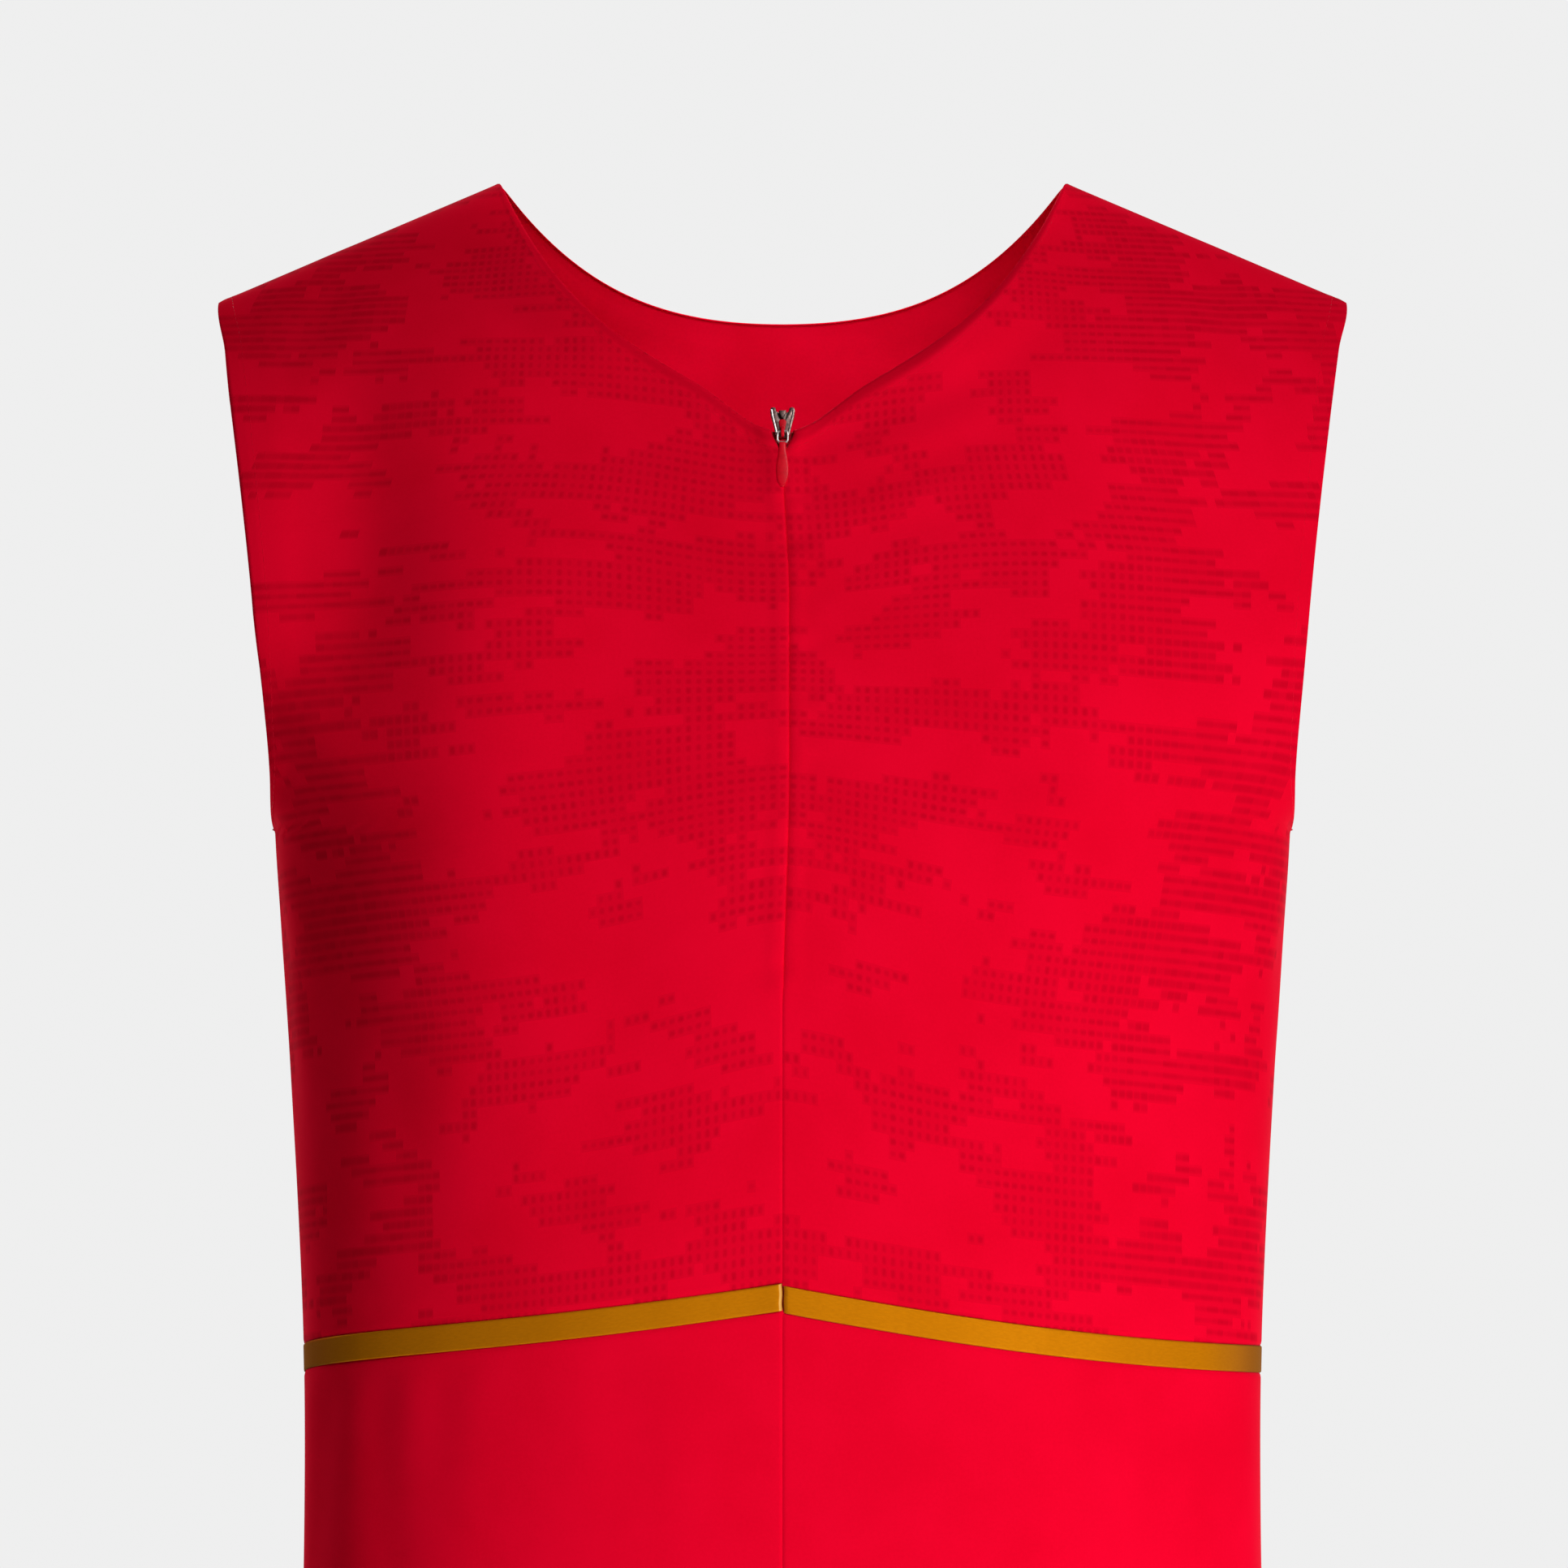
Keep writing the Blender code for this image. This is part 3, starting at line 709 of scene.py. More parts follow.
@dataclass(frozen=True)
class JacquardFinish(KnitFinish):
    """The same knit with clouds of small sunken square cells, laid out in rows and columns."""

    name: str = "Red cell jacquard"
    cell_colour: Colour = (0.61, 0.0007, 0.0155, 1)
    cell_wide: float = 3.36
    cell_tall: float = 3.90
    cloud_wide: float = 40
    cloud_tall: float = 19
    cover: float = 0.5
    soft: float = 0.27
    between: float = 0.28
    # painted shade along the neckline's turned edge: it rises over hem_rise from the edge and fades out between
    # hem_start and hem_end
    hem_rise: float = 2.2
    hem_start: float = 3.0
    hem_end: float = 6.5
    sink: float = 0.028
    merge_from_m: float = 0.095
    merge_to_m: float = 0.175

    def patch(self, graph: Graph, column: object, row: object) -> tuple[object, object]:
        """Which cells are sunken, and how much they join down their column.

        Args:
            graph: The finish's nodes.
            column: Place along a row, in cells.
            row: Place up a column, in cells.

        Returns:
            1 in a sunken cell and 0 outside, and a slow change from 0 to 1.
        """
        cloud_x = graph.times(graph.math("FLOOR", column), self.cell_wide / self.cloud_wide)
        row_index = graph.math("FLOOR", row)
        cloud_y = graph.times(row_index, self.cell_tall / self.cloud_tall)
        cloud = graph.noise(graph.vector(cloud_x, cloud_y, 3.7), 1.0, 3, 0.55)
        tail = graph.noise(graph.vector(cloud_x, graph.times(row_index, 5.37), 9.2), 1.4, 1, 0.5)
        level = graph.plus(cloud, graph.times(graph.math("SUBTRACT", tail, 0.5), 0.22))
        join = graph.noise(graph.vector(cloud_x, cloud_y, 21.3), 0.8, 1, 0.5)
        return graph.math("GREATER_THAN", level, self.cover), graph.ramp(join, 0.38, 0.62, 0.0, 1.0)

    def edge(self, graph: Graph, place: object, half: object) -> Socket:
        """Soft-edged span of a cell in one direction, 1 in its middle."""
        away = graph.math("ABSOLUTE", graph.math("SUBTRACT", graph.math("FRACT", place), 0.5))
        return graph.ramp(graph.math("SUBTRACT", away, half), -self.soft, self.soft, 1.0, 0.0)

    def cells(self, graph: Graph, along: object, up: object) -> tuple[object, object]:
        """The sunken cells.

        Args:
            graph: The finish's nodes.
            along: Way along a row, in metres.
            up: Way up the cloth, in metres.

        Returns:
            Depth of the cells from 0 to 1, and the patch that they lie in.
        """
        column = graph.math("DIVIDE", along, self.cell_wide * MM)
        row = graph.math("DIVIDE", up, self.cell_tall * MM)
        patch, join = self.patch(graph, column, row)
        sides = graph.ramp(graph.math("ABSOLUTE", along), self.merge_from_m, self.merge_to_m, 0.0, 0.36)
        wide = graph.plus(graph.ramp(join, 0.0, 1.0, 0.38, 0.29), sides)
        tall = graph.ramp(join, 0.0, 1.0, 0.28, 0.38)
        inside = graph.times(self.edge(graph, column, wide), self.edge(graph, row, tall))
        spot = graph.vector(graph.math("FLOOR", column), graph.math("FLOOR", row), 0.5)
        uneven = graph.ramp(graph.noise(spot, 0.83, 1, 0.5), 0.3, 0.7, 0.58, 1.0)
        return graph.times(graph.times(patch, uneven), inside), patch

    def neck_doubling_and_shade(self, graph: Graph) -> Socket:
        """Where painted shade darkens the cloth along the turned edge of the neckline, which also lies doubled
        there, from 0 to 1.
        """
        way = graph.split(graph.cloth_place(HEM_MAP))[0]
        start = graph.ramp(way, 0.0, self.hem_rise * MM, 0.3, 0.8)
        stop = graph.ramp(way, self.hem_start * MM, self.hem_end * MM, 1.0, 0.0)
        return graph.times(start, stop)

    def inputs(self, graph: Graph) -> dict:
        """Sockets and values of the finish's shader."""
        place = graph.cloth_place()
        along, up, _ = graph.split(place)
        cells, patch = self.cells(graph, along, up)
        relief = self.surface(graph, place, along, up)
        sunk = graph.math("SUBTRACT", relief, graph.times(cells, self.sink * MM))
        deep = graph.math("MAXIMUM", cells, graph.times(patch, self.between))
        # painted shade at the neckline's turned edge darkens the cloth towards the cell colour
        deep = graph.math("MAXIMUM", deep, self.neck_doubling_and_shade(graph))
        return self.constants() | {
            "Base Color": graph.blend(deep, self.ground(graph, place), self.cell_colour),
            "Roughness": graph.ramp(cells, 0.0, 1.0, self.roughness, self.roughness + 0.18),
            "Normal": graph.bump(sunk),
        }


@dataclass(frozen=True)
class SatinTapeFinish(Finish):
    """Gold satin tape: fine ribs across it, a broad metallic gloss and soft waves of light."""

    name: str = "Gold satin tape"
    colour: Colour = (0.64, 0.213, 0.003, 1)
    shade: Colour = (0.56, 0.180, 0.002, 1)
    edge_tint: Colour = (0.16, 0.10, 0.05, 1)
    rib: float = 0.42
    thread: float = 0.30
    relief: float = 0.003
    roughness: float = 0.44
    metallic: float = 0.27
    # painted highlight on the folded centre end of the wearer's right half, fold_wide across
    fold_highlight: Colour = (0.80, 0.42, 0.10, 1)
    fold_wide: float = 1.1
    # painted shade over the ends of the band, from end_from_m to end_to_m along it
    end_painted_shade: Colour = (0.30, 0.115, 0.012, 1)
    end_from_m: float = 0.150
    end_to_m: float = 0.188

    def tone(self, graph: Graph, along: object, base: object) -> Socket:
        """Painted shade towards the ends, where the band turns away from the lights, and a painted highlight on
        the folded end of the wearer's right half.
        """
        # painted shade towards the ends of the band
        far = graph.ramp(graph.math("ABSOLUTE", along), self.end_from_m, self.end_to_m, 0.0, 1.0)
        shaded_ends = graph.blend(far, base, self.end_painted_shade)
        # painted highlight on the last fold_wide of the wearer's right half, where it is folded under
        start = graph.math("GREATER_THAN", 0.0, along)
        near = graph.ramp(along, -self.fold_wide * MM, -0.6 * self.fold_wide * MM, 0.0, 1.0)
        return graph.blend(graph.times(start, near), shaded_ends, self.fold_highlight)

    def inputs(self, graph: Graph) -> dict:
        """Sockets and values of the finish's shader."""
        along, up, _ = graph.split(graph.cloth_place())
        waves = graph.noise(graph.vector(along, graph.times(up, 0.35)), 30)
        weave = graph.plus(graph.wave(along, self.rib), graph.times(graph.wave(up, self.thread), 0.5))
        relief = graph.plus(graph.times(weave, 0.5 * self.relief * MM), graph.times(waves, 0.5 * MM))
        streaks = graph.noise(graph.vector(graph.times(along, 0.3), up), 1500, 2, 0.6)
        share = graph.ramp(graph.plus(streaks, graph.times(waves, 0.8)), 0.5, 1.2, 0.0, 1.0)
        return {
            "Base Color": self.tone(graph, along, graph.blend(share, self.colour, self.shade)),
            "Roughness": graph.ramp(streaks, 0.3, 0.7, self.roughness - 0.03, self.roughness + 0.05),
            "Metallic": self.metallic,
            "Normal": graph.bump(relief),
            "Specular IOR Level": 0.0,
            "Specular Tint": self.edge_tint,
            "Sheen Weight": 0.10,
            "Sheen Roughness": 0.20,
            "Sheen Tint": (1.0, 0.75, 0.55, 1),
        }


@dataclass(frozen=True)
class WovenTapeFinish(Finish):
    """Zip tape: a fine herringbone weave in a deeper red."""

    name: str = "Red zip tape"
    colour: Colour = (0.52, 0.0016, 0.014, 1)
    shade: Colour = (0.36, 0.0010, 0.008, 1)
    pitch: float = 0.55
    rib: float = 1.5

    def inputs(self, graph: Graph) -> dict:
        """Sockets and values of the finish's shader."""
        along, up, _ = graph.split(graph.cloth_place())
        zigzag = graph.math("PINGPONG", along, self.rib * MM)
        twill = graph.wave(graph.plus(zigzag, up), self.pitch)
        return {
            "Base Color": graph.blend(graph.ramp(twill, -1.0, 1.0, 0.0, 1.0), self.shade, self.colour),
            "Roughness": graph.ramp(twill, -1.0, 1.0, 0.85, 0.7),
            "Normal": graph.bump(twill, 0.03 * MM),
            "Specular IOR Level": 0.2,
        }


@dataclass(frozen=True)
class ThreadFinish(Finish):
    """Sewing thread: a tight twist with a slight lustre."""

    name: str = "Red sewing thread"
    colour: Colour = (0.80, 0.002, 0.026, 1)
    shade: Colour = (0.66, 0.001, 0.018, 1)

    def inputs(self, graph: Graph) -> dict:
        """Sockets and values of the finish's shader."""
        twist = graph.noise(graph.object_place(), 4200)
        return {
            "Base Color": graph.blend(graph.ramp(twist, 0.3, 0.7, 0.0, 1.0), self.shade, self.colour),
            "Roughness": graph.ramp(twist, 0.3, 0.7, 0.5, 0.66),
            "Normal": graph.bump(twist, 0.05 * MM),
            "Specular IOR Level": 0.08,
        }


@dataclass(frozen=True)
class LacquerFinish(Finish):
    """Red lacquer over metal, a little uneven, with its gloss dulled by handling."""

    name: str = "Red lacquer"
    colour: Colour = (0.76, 0.0008, 0.016, 1)
    shade: Colour = (0.64, 0.0006, 0.012, 1)
    roughness: float = 0.42

    def inputs(self, graph: Graph) -> dict:
        """Sockets and values of the finish's shader."""
        place = graph.object_place()
        pool = graph.noise(place, 420, 3, 0.55)
        scuffs = graph.noise(place, 2600, 3, 0.65)
        return {
            "Base Color": graph.blend(graph.ramp(pool, 0.35, 0.65, 0.0, 1.0), self.colour, self.shade),
            "Roughness": graph.ramp(scuffs, 0.35, 0.7, self.roughness - 0.06, self.roughness + 0.16),
            "Normal": graph.bump(pool, 0.04 * MM),
            "Specular IOR Level": 0.10,
            "Coat Weight": 0.04,
            "Coat Roughness": 0.18,
        }


@dataclass(frozen=True)
class BareMetalFinish(Finish):
    """Zinc worn bare at the slider's throat and on the link's wire."""

    name: str = "Bare slider metal"
    colour: Colour = (0.80, 0.76, 0.74, 1)
    shade: Colour = (0.50, 0.45, 0.43, 1)

    def inputs(self, graph: Graph) -> dict:
        """Sockets and values of the finish's shader."""
        place = graph.object_place()
        stains = graph.noise(place, 900, 3, 0.6)
        scratches = graph.noise(place, 5200, 2, 0.6)
        return {
            "Base Color": graph.blend(graph.ramp(stains, 0.4, 0.68, 0.0, 1.0), self.colour, self.shade),
            "Roughness": graph.ramp(scratches, 0.3, 0.7, 0.24, 0.46),
            "Metallic": 0.9,
            "Normal": graph.bump(scratches, 0.02 * MM),
        }


@dataclass(frozen=True)
class FloorFinish(Finish):
    """Pale matt floor of the studio."""

    name: str = "Pale studio floor"
    colour: Colour = (0.84, 0.84, 0.84, 1)
    shade: Colour = (0.81, 0.81, 0.81, 1)
    glow: float = 0.17

    def inputs(self, graph: Graph) -> dict:
        """Sockets and values of the finish's shader."""
        grain = graph.noise(graph.object_place(), 6, 4, 0.6)
        return {
            "Base Color": graph.blend(graph.ramp(grain, 0.3, 0.7, 0.0, 1.0), self.colour, self.shade),
            "Roughness": 0.9,
            "Specular IOR Level": 0.1,
            "Emission Color": self.colour,
            "Emission Strength": self.glow,
        }


RED_REVERSE: tuple[Colour, Colour] = (0.86, 0.0014, 0.030, 1), (0.76, 0.0010, 0.022, 1)
# Two darker copies of the bare zinc carry painted shade: the first on the back plate and on the flange that faces
# away from the key light, the deeper one on the front plate and on the wedge in the throat's recess.
SHADED_ZINC: tuple[Colour, Colour] = (0.42, 0.33, 0.29, 1), (0.26, 0.19, 0.17, 1)
DEEPLY_SHADED_ZINC: tuple[Colour, Colour] = (0.16, 0.10, 0.09, 1), (0.07, 0.04, 0.04, 1)


class Look(Enum):
    """Every finish of the garment, and the floor's."""

    JACQUARD = JacquardFinish()
    PLAIN = KnitFinish()
    REVERSE = KnitFinish("Knit reverse", *RED_REVERSE, relief=0.008, roughness=0.75, sheen=0.06)
    GOLD = SatinTapeFinish()
    TAPE = WovenTapeFinish()
    THREAD = ThreadFinish()
    LACQUER = LacquerFinish()
    METAL = BareMetalFinish()
    WORN_METAL = BareMetalFinish("Shaded slider metal", *SHADED_ZINC)
    DARK_METAL = BareMetalFinish("Deeply shaded slider metal", *DEEPLY_SHADED_ZINC)
    FLOOR = FloorFinish()


Wardrobe = dict[Look, Material]


# ---------------------------------------------------------------- meshes


def linked(name: str, data: bpy.types.ID) -> Object:
    """A new object of some data, linked to the scene."""
    made = bpy.data.objects.new(name, data)
    bpy.context.scene.collection.objects.link(made)
    return made


def new_object(name: str, points: Array, faces: list[list[int]], looks: list[Material]) -> Object:
    """A smooth-shaded mesh object from points in millimetres.

    Args:
        name: Name of the object.
        points: Points, one a row.
        faces: Corner indices, one face a row.
        looks: Materials of the mesh.

    Returns:
        The object, linked to the scene.
    """
    mesh = bpy.data.meshes.new(name)
    mesh.from_pydata((points * MM).tolist(), [], faces)
    for look in looks:
        mesh.materials.append(look)
    mesh.shade_smooth()
    return linked(name, mesh)


def carry(pieces: list[Object], body: str) -> None:
    """Lets pieces ride on a body."""
    for piece in pieces:
        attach(piece, body)


@dataclass
class ClothShell:
    """One layer of cloth as a thin closed shell on a grid of outer points."""

    name: str
    outer: Array
    normals: Array
    wall: float
    cloth: Array
    hem: Array | None = None

    def rim(self) -> Array:
        """Grid indices round the shell's border, as one loop."""
        rows, columns = self.outer.shape[:2]
        index = np.arange(rows * columns).reshape(rows, columns)
        return np.concatenate([index[0, :-1], index[:-1, -1], index[-1, :0:-1], index[:0:-1, 0]])

    def outward(self) -> Array:
        """Directions that point out of the panel in its own surface, for every grid point."""
        along = unit(np.gradient(self.outer, axis=1))
        up = unit(np.gradient(self.outer, axis=0))
        out = np.zeros_like(self.outer)
        out[:, 0] -= along[:, 0]
        out[:, -1] += along[:, -1]
        out[0] -= up[0]
        out[-1] += up[-1]
        return unit(out)

    def build(self, face_look: Material, back_look: Material) -> Object:
        """Builds the shell with rounded edges.

        Args:
            face_look: Finish of the right side and the edges.
            back_look: Finish of the reverse.

        Returns:
            The shell.
        """
        rows, columns = self.outer.shape[:2]
        outer = self.outer.reshape(-1, 3)
        inner = (self.outer - self.normals * self.wall).reshape(-1, 3)
        rim = self.rim()
        out = self.outward().reshape(-1, 3)[rim]
        middle = (outer[rim] + inner[rim]) / 2 + out * self.wall * 0.5
        points = np.concatenate([outer, inner, middle])
        index = np.arange(rows * columns).reshape(rows, columns)
        around = [index[:-1, :-1], index[:-1, 1:], index[1:, 1:], index[1:, :-1]]
        quads = np.stack(around, axis=-1).reshape(-1, 4)
        first = np.arange(len(rim)) + 2 * len(outer)
        last = np.roll(first, -1)
        after = np.roll(rim, -1)
        upper = np.stack([rim, first, last, after], axis=-1)
        lower = np.stack([first, rim + len(outer), after + len(outer), last], axis=-1)
        faces = np.concatenate([quads, quads[:, ::-1] + len(outer), upper, lower])
        centre = (rows // 2, columns // 2)
        along = self.outer[centre[0], centre[1] + 1] - self.outer[centre]
        up = self.outer[centre[0] + 1, centre[1]] - self.outer[centre]
        if np.cross(along, up) @ self.normals[centre] < 0:
            faces = faces[:, ::-1]
        made = new_object(self.name, points, faces.tolist(), [face_look, back_look])
        reverse = np.zeros(len(faces), np.int32)
        reverse[len(quads) : 2 * len(quads)] = 1
        made.data.polygons.foreach_set("material_index", reverse)
        corners = np.empty(len(made.data.loops), np.int32)
        made.data.loops.foreach_get("vertex_index", corners)
        for name, values in ((CLOTH_MAP, self.cloth), (HEM_MAP, self.hem)):
            if values is None:
                continue
            flat = values.reshape(-1, 2)
            places = np.concatenate([flat, flat, flat[rim]]) * MM
            layer = made.data.uv_layers.new(name=name)
            layer.uv.foreach_set("vector", places[corners].astype(np.float32).ravel())
        return made

    def area(self) -> float:
        """Area of the outer surface, in square metres."""
        across = np.diff(self.outer, axis=1)[:-1]
        up = np.diff(self.outer, axis=0)[:, :-1]
        return float(np.linalg.norm(np.cross(across, up), axis=-1).sum()) * MM * MM

    def spans(self) -> tuple[float, float]:
        """Longest way across and longest way up the cloth, in metres."""
        across = np.linalg.norm(np.diff(self.outer, axis=1), axis=-1).sum(axis=1)
        up = np.linalg.norm(np.diff(self.outer, axis=0), axis=-1).sum(axis=0)
        return float(across.max()) * MM, float(up.max()) * MM


@dataclass(frozen=True)
class Stitch:
    """One row of stitches: its stitch length, the space between stitches and the thread."""

    length: float = 2.3
    space: float = 0.7
    thread: float = 0.075
    sides: int = 5
    sight: float = 0.4

    def capsules(self, centres: Array, along: Array, out: Array) -> tuple[Array, Array]:
        """Points and faces of one small pad of thread at each centre.

        Args:
            centres: Middles of the stitches.
            along: Directions that they run in.
            out: Directions out of the cloth.

        Returns:
            Points, and faces with four corners.
        """
        aside = unit(np.cross(along, out))
        turns = np.arange(self.sides) * math.tau / self.sides
        rings = ((-0.5, 0.25), (-0.32, 1.0), (0.32, 1.0), (0.5, 0.25))
        stops = []
        for place, swell in rings:
            ring = centres[:, None] + along[:, None] * place * self.length
            ring = ring + swell * self.thread * (
                aside[:, None] * np.cos(turns)[:, None] + out[:, None] * np.sin(turns)[:, None]
            )
            stops.append(ring)
        points = np.stack(stops, axis=1)
        index = np.arange(len(rings) * self.sides).reshape(len(rings), self.sides)
        after = np.roll(index, -1, axis=1)
        walls = np.stack([index[:-1], after[:-1], after[1:], index[1:]], axis=-1).reshape(-1, 4)
        caps = [[index[0, k] for k in (3, 2, 1, 0)], [index[-1, k] for k in (0, 1, 2, 3)]]
        tips = [[index[0, k] for k in (4, 3, 0, 0)], [index[-1, k] for k in (0, 3, 4, 4)]]
        faces = np.concatenate([walls, caps, tips])
        offsets = np.arange(len(centres)) * len(rings) * self.sides
        return points.reshape(-1, 3), (faces[None] + offsets[:, None, None]).reshape(-1, 4)

    def row(self, path: Array, out: Array) -> tuple[Array, Array]:
        """A row of stitches along a path on the cloth."""
        along = lengths(path)
        pitch = self.length + self.space
        stops = np.arange(pitch / 2, along[-1] - pitch / 2, pitch)
        centres = read_at(stops, along, path)
        ahead = read_at(stops + self.sight, along, path)
        normals = unit(read_at(stops, along, out))
        return self.capsules(centres - normals * 0.1 * self.thread, unit(ahead - centres), normals)


def joined(name: str, parts: list[tuple[Array, Array]], look: Material) -> Object:
    """One object from several sets of points and four-cornered faces.

    Args:
        name: Name of the object.
        parts: Points and faces of each set; a face may repeat a corner to have three.
        look: Material of the mesh.

    Returns:
        The object, linked to the scene.
    """
    points, faces, count = [], [], 0
    for some, corners in parts:
        points.append(some)
        faces.append(corners + count)
        count += len(some)
    rows = [[c for k, c in enumerate(row) if c not in row[:k]] for row in np.concatenate(faces).tolist()]
    return new_object(name, np.concatenate(points), rows, [look])


# ---------------------------------------------------------------- panels


@dataclass(frozen=True)
class Zip:
    """Sizes that the front panels share with the zip."""

    notch_half: float = 4.0
    notch_straight: float = 1.5
    notch_depth: float = 9.0
    notch_pull: float = 26
    lips_half: float = 0.12
    end: float = -280.0
    drift: float = 2.0
    drift_reach: float = 34
    lip_width: tuple[float, float] = (2.4, 2.0)
    lip_roll: tuple[float, float] = (0.24, 0.55)
    tape_width: float = 12
    wall: float = 1.2
    layer_gap: float = 0.3

    def notch(self, below_top: Array) -> Array:
        """Distance of a front edge from the centre line, wide round the slider."""
        share = np.clip((below_top - self.notch_straight) / (self.notch_depth - self.notch_straight), 0, 1)
        return mix(self.notch_half, self.lips_half, share)

    def line(self, height: Array) -> Array:
        """How far the closed lips wander to the wearer's left of the centre."""
        return self.drift * ease(-100, -146, height) * (1 - ease(-205, -286, height))


@dataclass
class ClothPanel:
    """A cut piece of cloth on the worn form."""

    form: BodyForm
    creases: CreaseBook
    face: Face
    side: Side
    wall: float = 1.0
    coarse: float = 2.5
    fine: float = 0.55
    fine_reach: float = 9
    girth_stretch: float = 1.12
    length_stretch: float = 1.03
    slot: Slot = Slot.PLAIN
    seam_roll: float = 0.55
    seam_width: float = 2.0
    seam_gap: float = 0.02
    draw_reach: float = 8
    hem_wide: float = 9.0
    hem_rise: float = 0.20
    edge_round: float = 0.45
    stitch_inset: float = 1.6
    stitch_sink: float = 0.10
    calm_reach: float = 26

    def name(self) -> str:
        """Name of the CAD node that the panel stands for."""
        raise NotImplementedError

    def shares(self) -> tuple[Array, Array]:
        """Shares across and up at which the grid's columns and rows lie."""
        raise NotImplementedError

    def locate(self, across: Array, up: Array) -> tuple[Array, Array]:
        """Angle round the form and height of each grid place."""
        raise NotImplementedError

    def seams(self) -> dict[Border, float]:
        """Borders that are sewn to a neighbour, with the share of the usual roll."""
        return {}

    def hems(self) -> list[Border]:
        """Borders that are free, turned under and stitched."""
        return []

    def shape(self, points: Array, girth: Array, edges: dict[Border, Array]) -> Array:
        """Outward moves beyond seams, hems and creases."""
        return np.zeros(girth.shape)

    def shift(self, points: Array, top: Array) -> Array:
        """Moves of the points along the cloth."""
        return points

    def cloth_along(self, girth: Array, height: Array) -> Array:
        """Way along a row of each place, in its flat cut."""
        return girth

    def cloth_up(self, girth: Array, height: Array) -> Array:
        """Way up the cloth of each place, in its flat cut."""
        return height

    def hem_way(self, edges: dict[Border, Array]) -> Array | None:
        """Distance of each place from an edge where the cloth lies double, where the panel has one."""
        return None

    def hem_share(self, border: Border, height: Array) -> Array:
        """How much of a free border is a hem at each height."""
        return np.ones(height.shape)

    def edge_ways(self, points: Array) -> dict[Border, Array]:
        """Distance over the cloth from each place to each border."""
        across = np.linalg.norm(np.diff(points, axis=1), axis=-1)
        up = np.linalg.norm(np.diff(points, axis=0), axis=-1)
        rows, columns = points.shape[:2]
        start = np.concatenate([np.zeros((rows, 1)), np.cumsum(across, axis=1)], axis=1)
        low = np.concatenate([np.zeros((1, columns)), np.cumsum(up, axis=0)], axis=0)
        return {
            Border.START: start,
            Border.END: start[:, -1:] - start,
            Border.LOW: low,
            Border.HIGH: low[-1:] - low,
        }

    def surface(self) -> ClothShell:
        """The panel's shell, with every soft detail worked into its grid."""
        across_shares, up_shares = self.shares()
        across, up = np.meshgrid(across_shares, up_shares)
        angle, height = self.locate(np.abs(across), up)
        sign = np.sign(across) if across_shares[0] < 0 else np.full(across.shape, float(self.side))
        girth = self.form.girth_to(self.face, angle, height) * sign
        points = self.form.point(self.face, angle, height)
        points = self.shift(points, height[-1:])
        points[..., 0] *= sign
        points = self.settle(points)
        along = np.gradient(points, axis=1)
        rise = np.gradient(points, axis=0)
        normals = unit(np.cross(along, rise))
        middle = (len(up_shares) // 2, len(across_shares) // 2)
        if normals[middle][1] * self.face < 0:
            normals = -normals
        edges = self.edge_ways(points)
        move = self.creases.height(self.face, girth, height, self.by_zip())
        move = move * self.calm(edges)
        for border, share in self.seams().items():
            near = roll(edges[border], self.seam_width)
            move = move - share * near * self.roll_depth(border, points, normals)
        for border in self.hems():
            way = edges[border]
            share = self.hem_share(border, height)
            turned = self.hem_rise * (1 - ease(self.hem_wide - 2.2, self.hem_wide + 1.6, way))
            stitched = self.stitch_sink * hump(way - self.hem_wide + self.stitch_inset, 0.9)
            rounded = self.edge_round * roll(way, 1.4)
            move = move + share * (turned - stitched - rounded)
        move = move + self.shape(points, girth, edges)
        outer = self.meet(points + normals * move[..., None], edges)
        cloth = np.stack([self.cloth_along(girth, height), self.cloth_up(girth, height)], axis=-1)
        return ClothShell(f"{self.name()}_cloth", outer, normals, self.wall, cloth, self.hem_way(edges))

    def roll_depth(self, border: Border, points: Array, normals: Array) -> Array:
        """How deep the cloth rolls in at a seam."""
        return np.full(points.shape[:2], self.seam_roll)

    def meet(self, outer: Array, edges: dict[Border, Array]) -> Array:
        """Draws a sewn edge up to its neighbour."""
        return outer

    def drawn(self, outer: Array, edges: dict[Border, Array], level: float) -> Array:
        """Draws the centre edge in to the centre line above a height.

        Args:
            outer: The panel's outer points.
            edges: Distance of each place from each border.
            level: Height from which the edges meet.

        Returns:
            Sideways moves of the points.
        """
        apart = outer[:, :1, 0] - self.side * self.seam_gap
        return apart * roll(edges[Border.START], self.draw_reach) * ease(level - 4, level + 2, outer[..., 2])

    def by_zip(self) -> bool:
        """Whether the panel has a lip of the zip."""
        return False

    def calm(self, edges: dict[Border, Array]) -> Array:
        """How far the creases are let out, from 0 at the side and waist seams to 1."""
        return ease(-2, self.calm_reach, edges[Border.END]) * ease(-1, 14, edges[Border.LOW])

    def settle(self, points: Array) -> Array:
        """Last sideways moves, once the points are on their own side."""
        return points

    def stitch_rows(self, shell: ClothShell) -> list[tuple[Array, Array]]:
        """Rows of stitches along the hems."""
        rows = []
        edges = self.edge_ways(shell.outer)
        for border in self.hems():
            rows += self.rows_along(shell, border, edges[border], self.hem_wide - self.stitch_inset)
        return rows

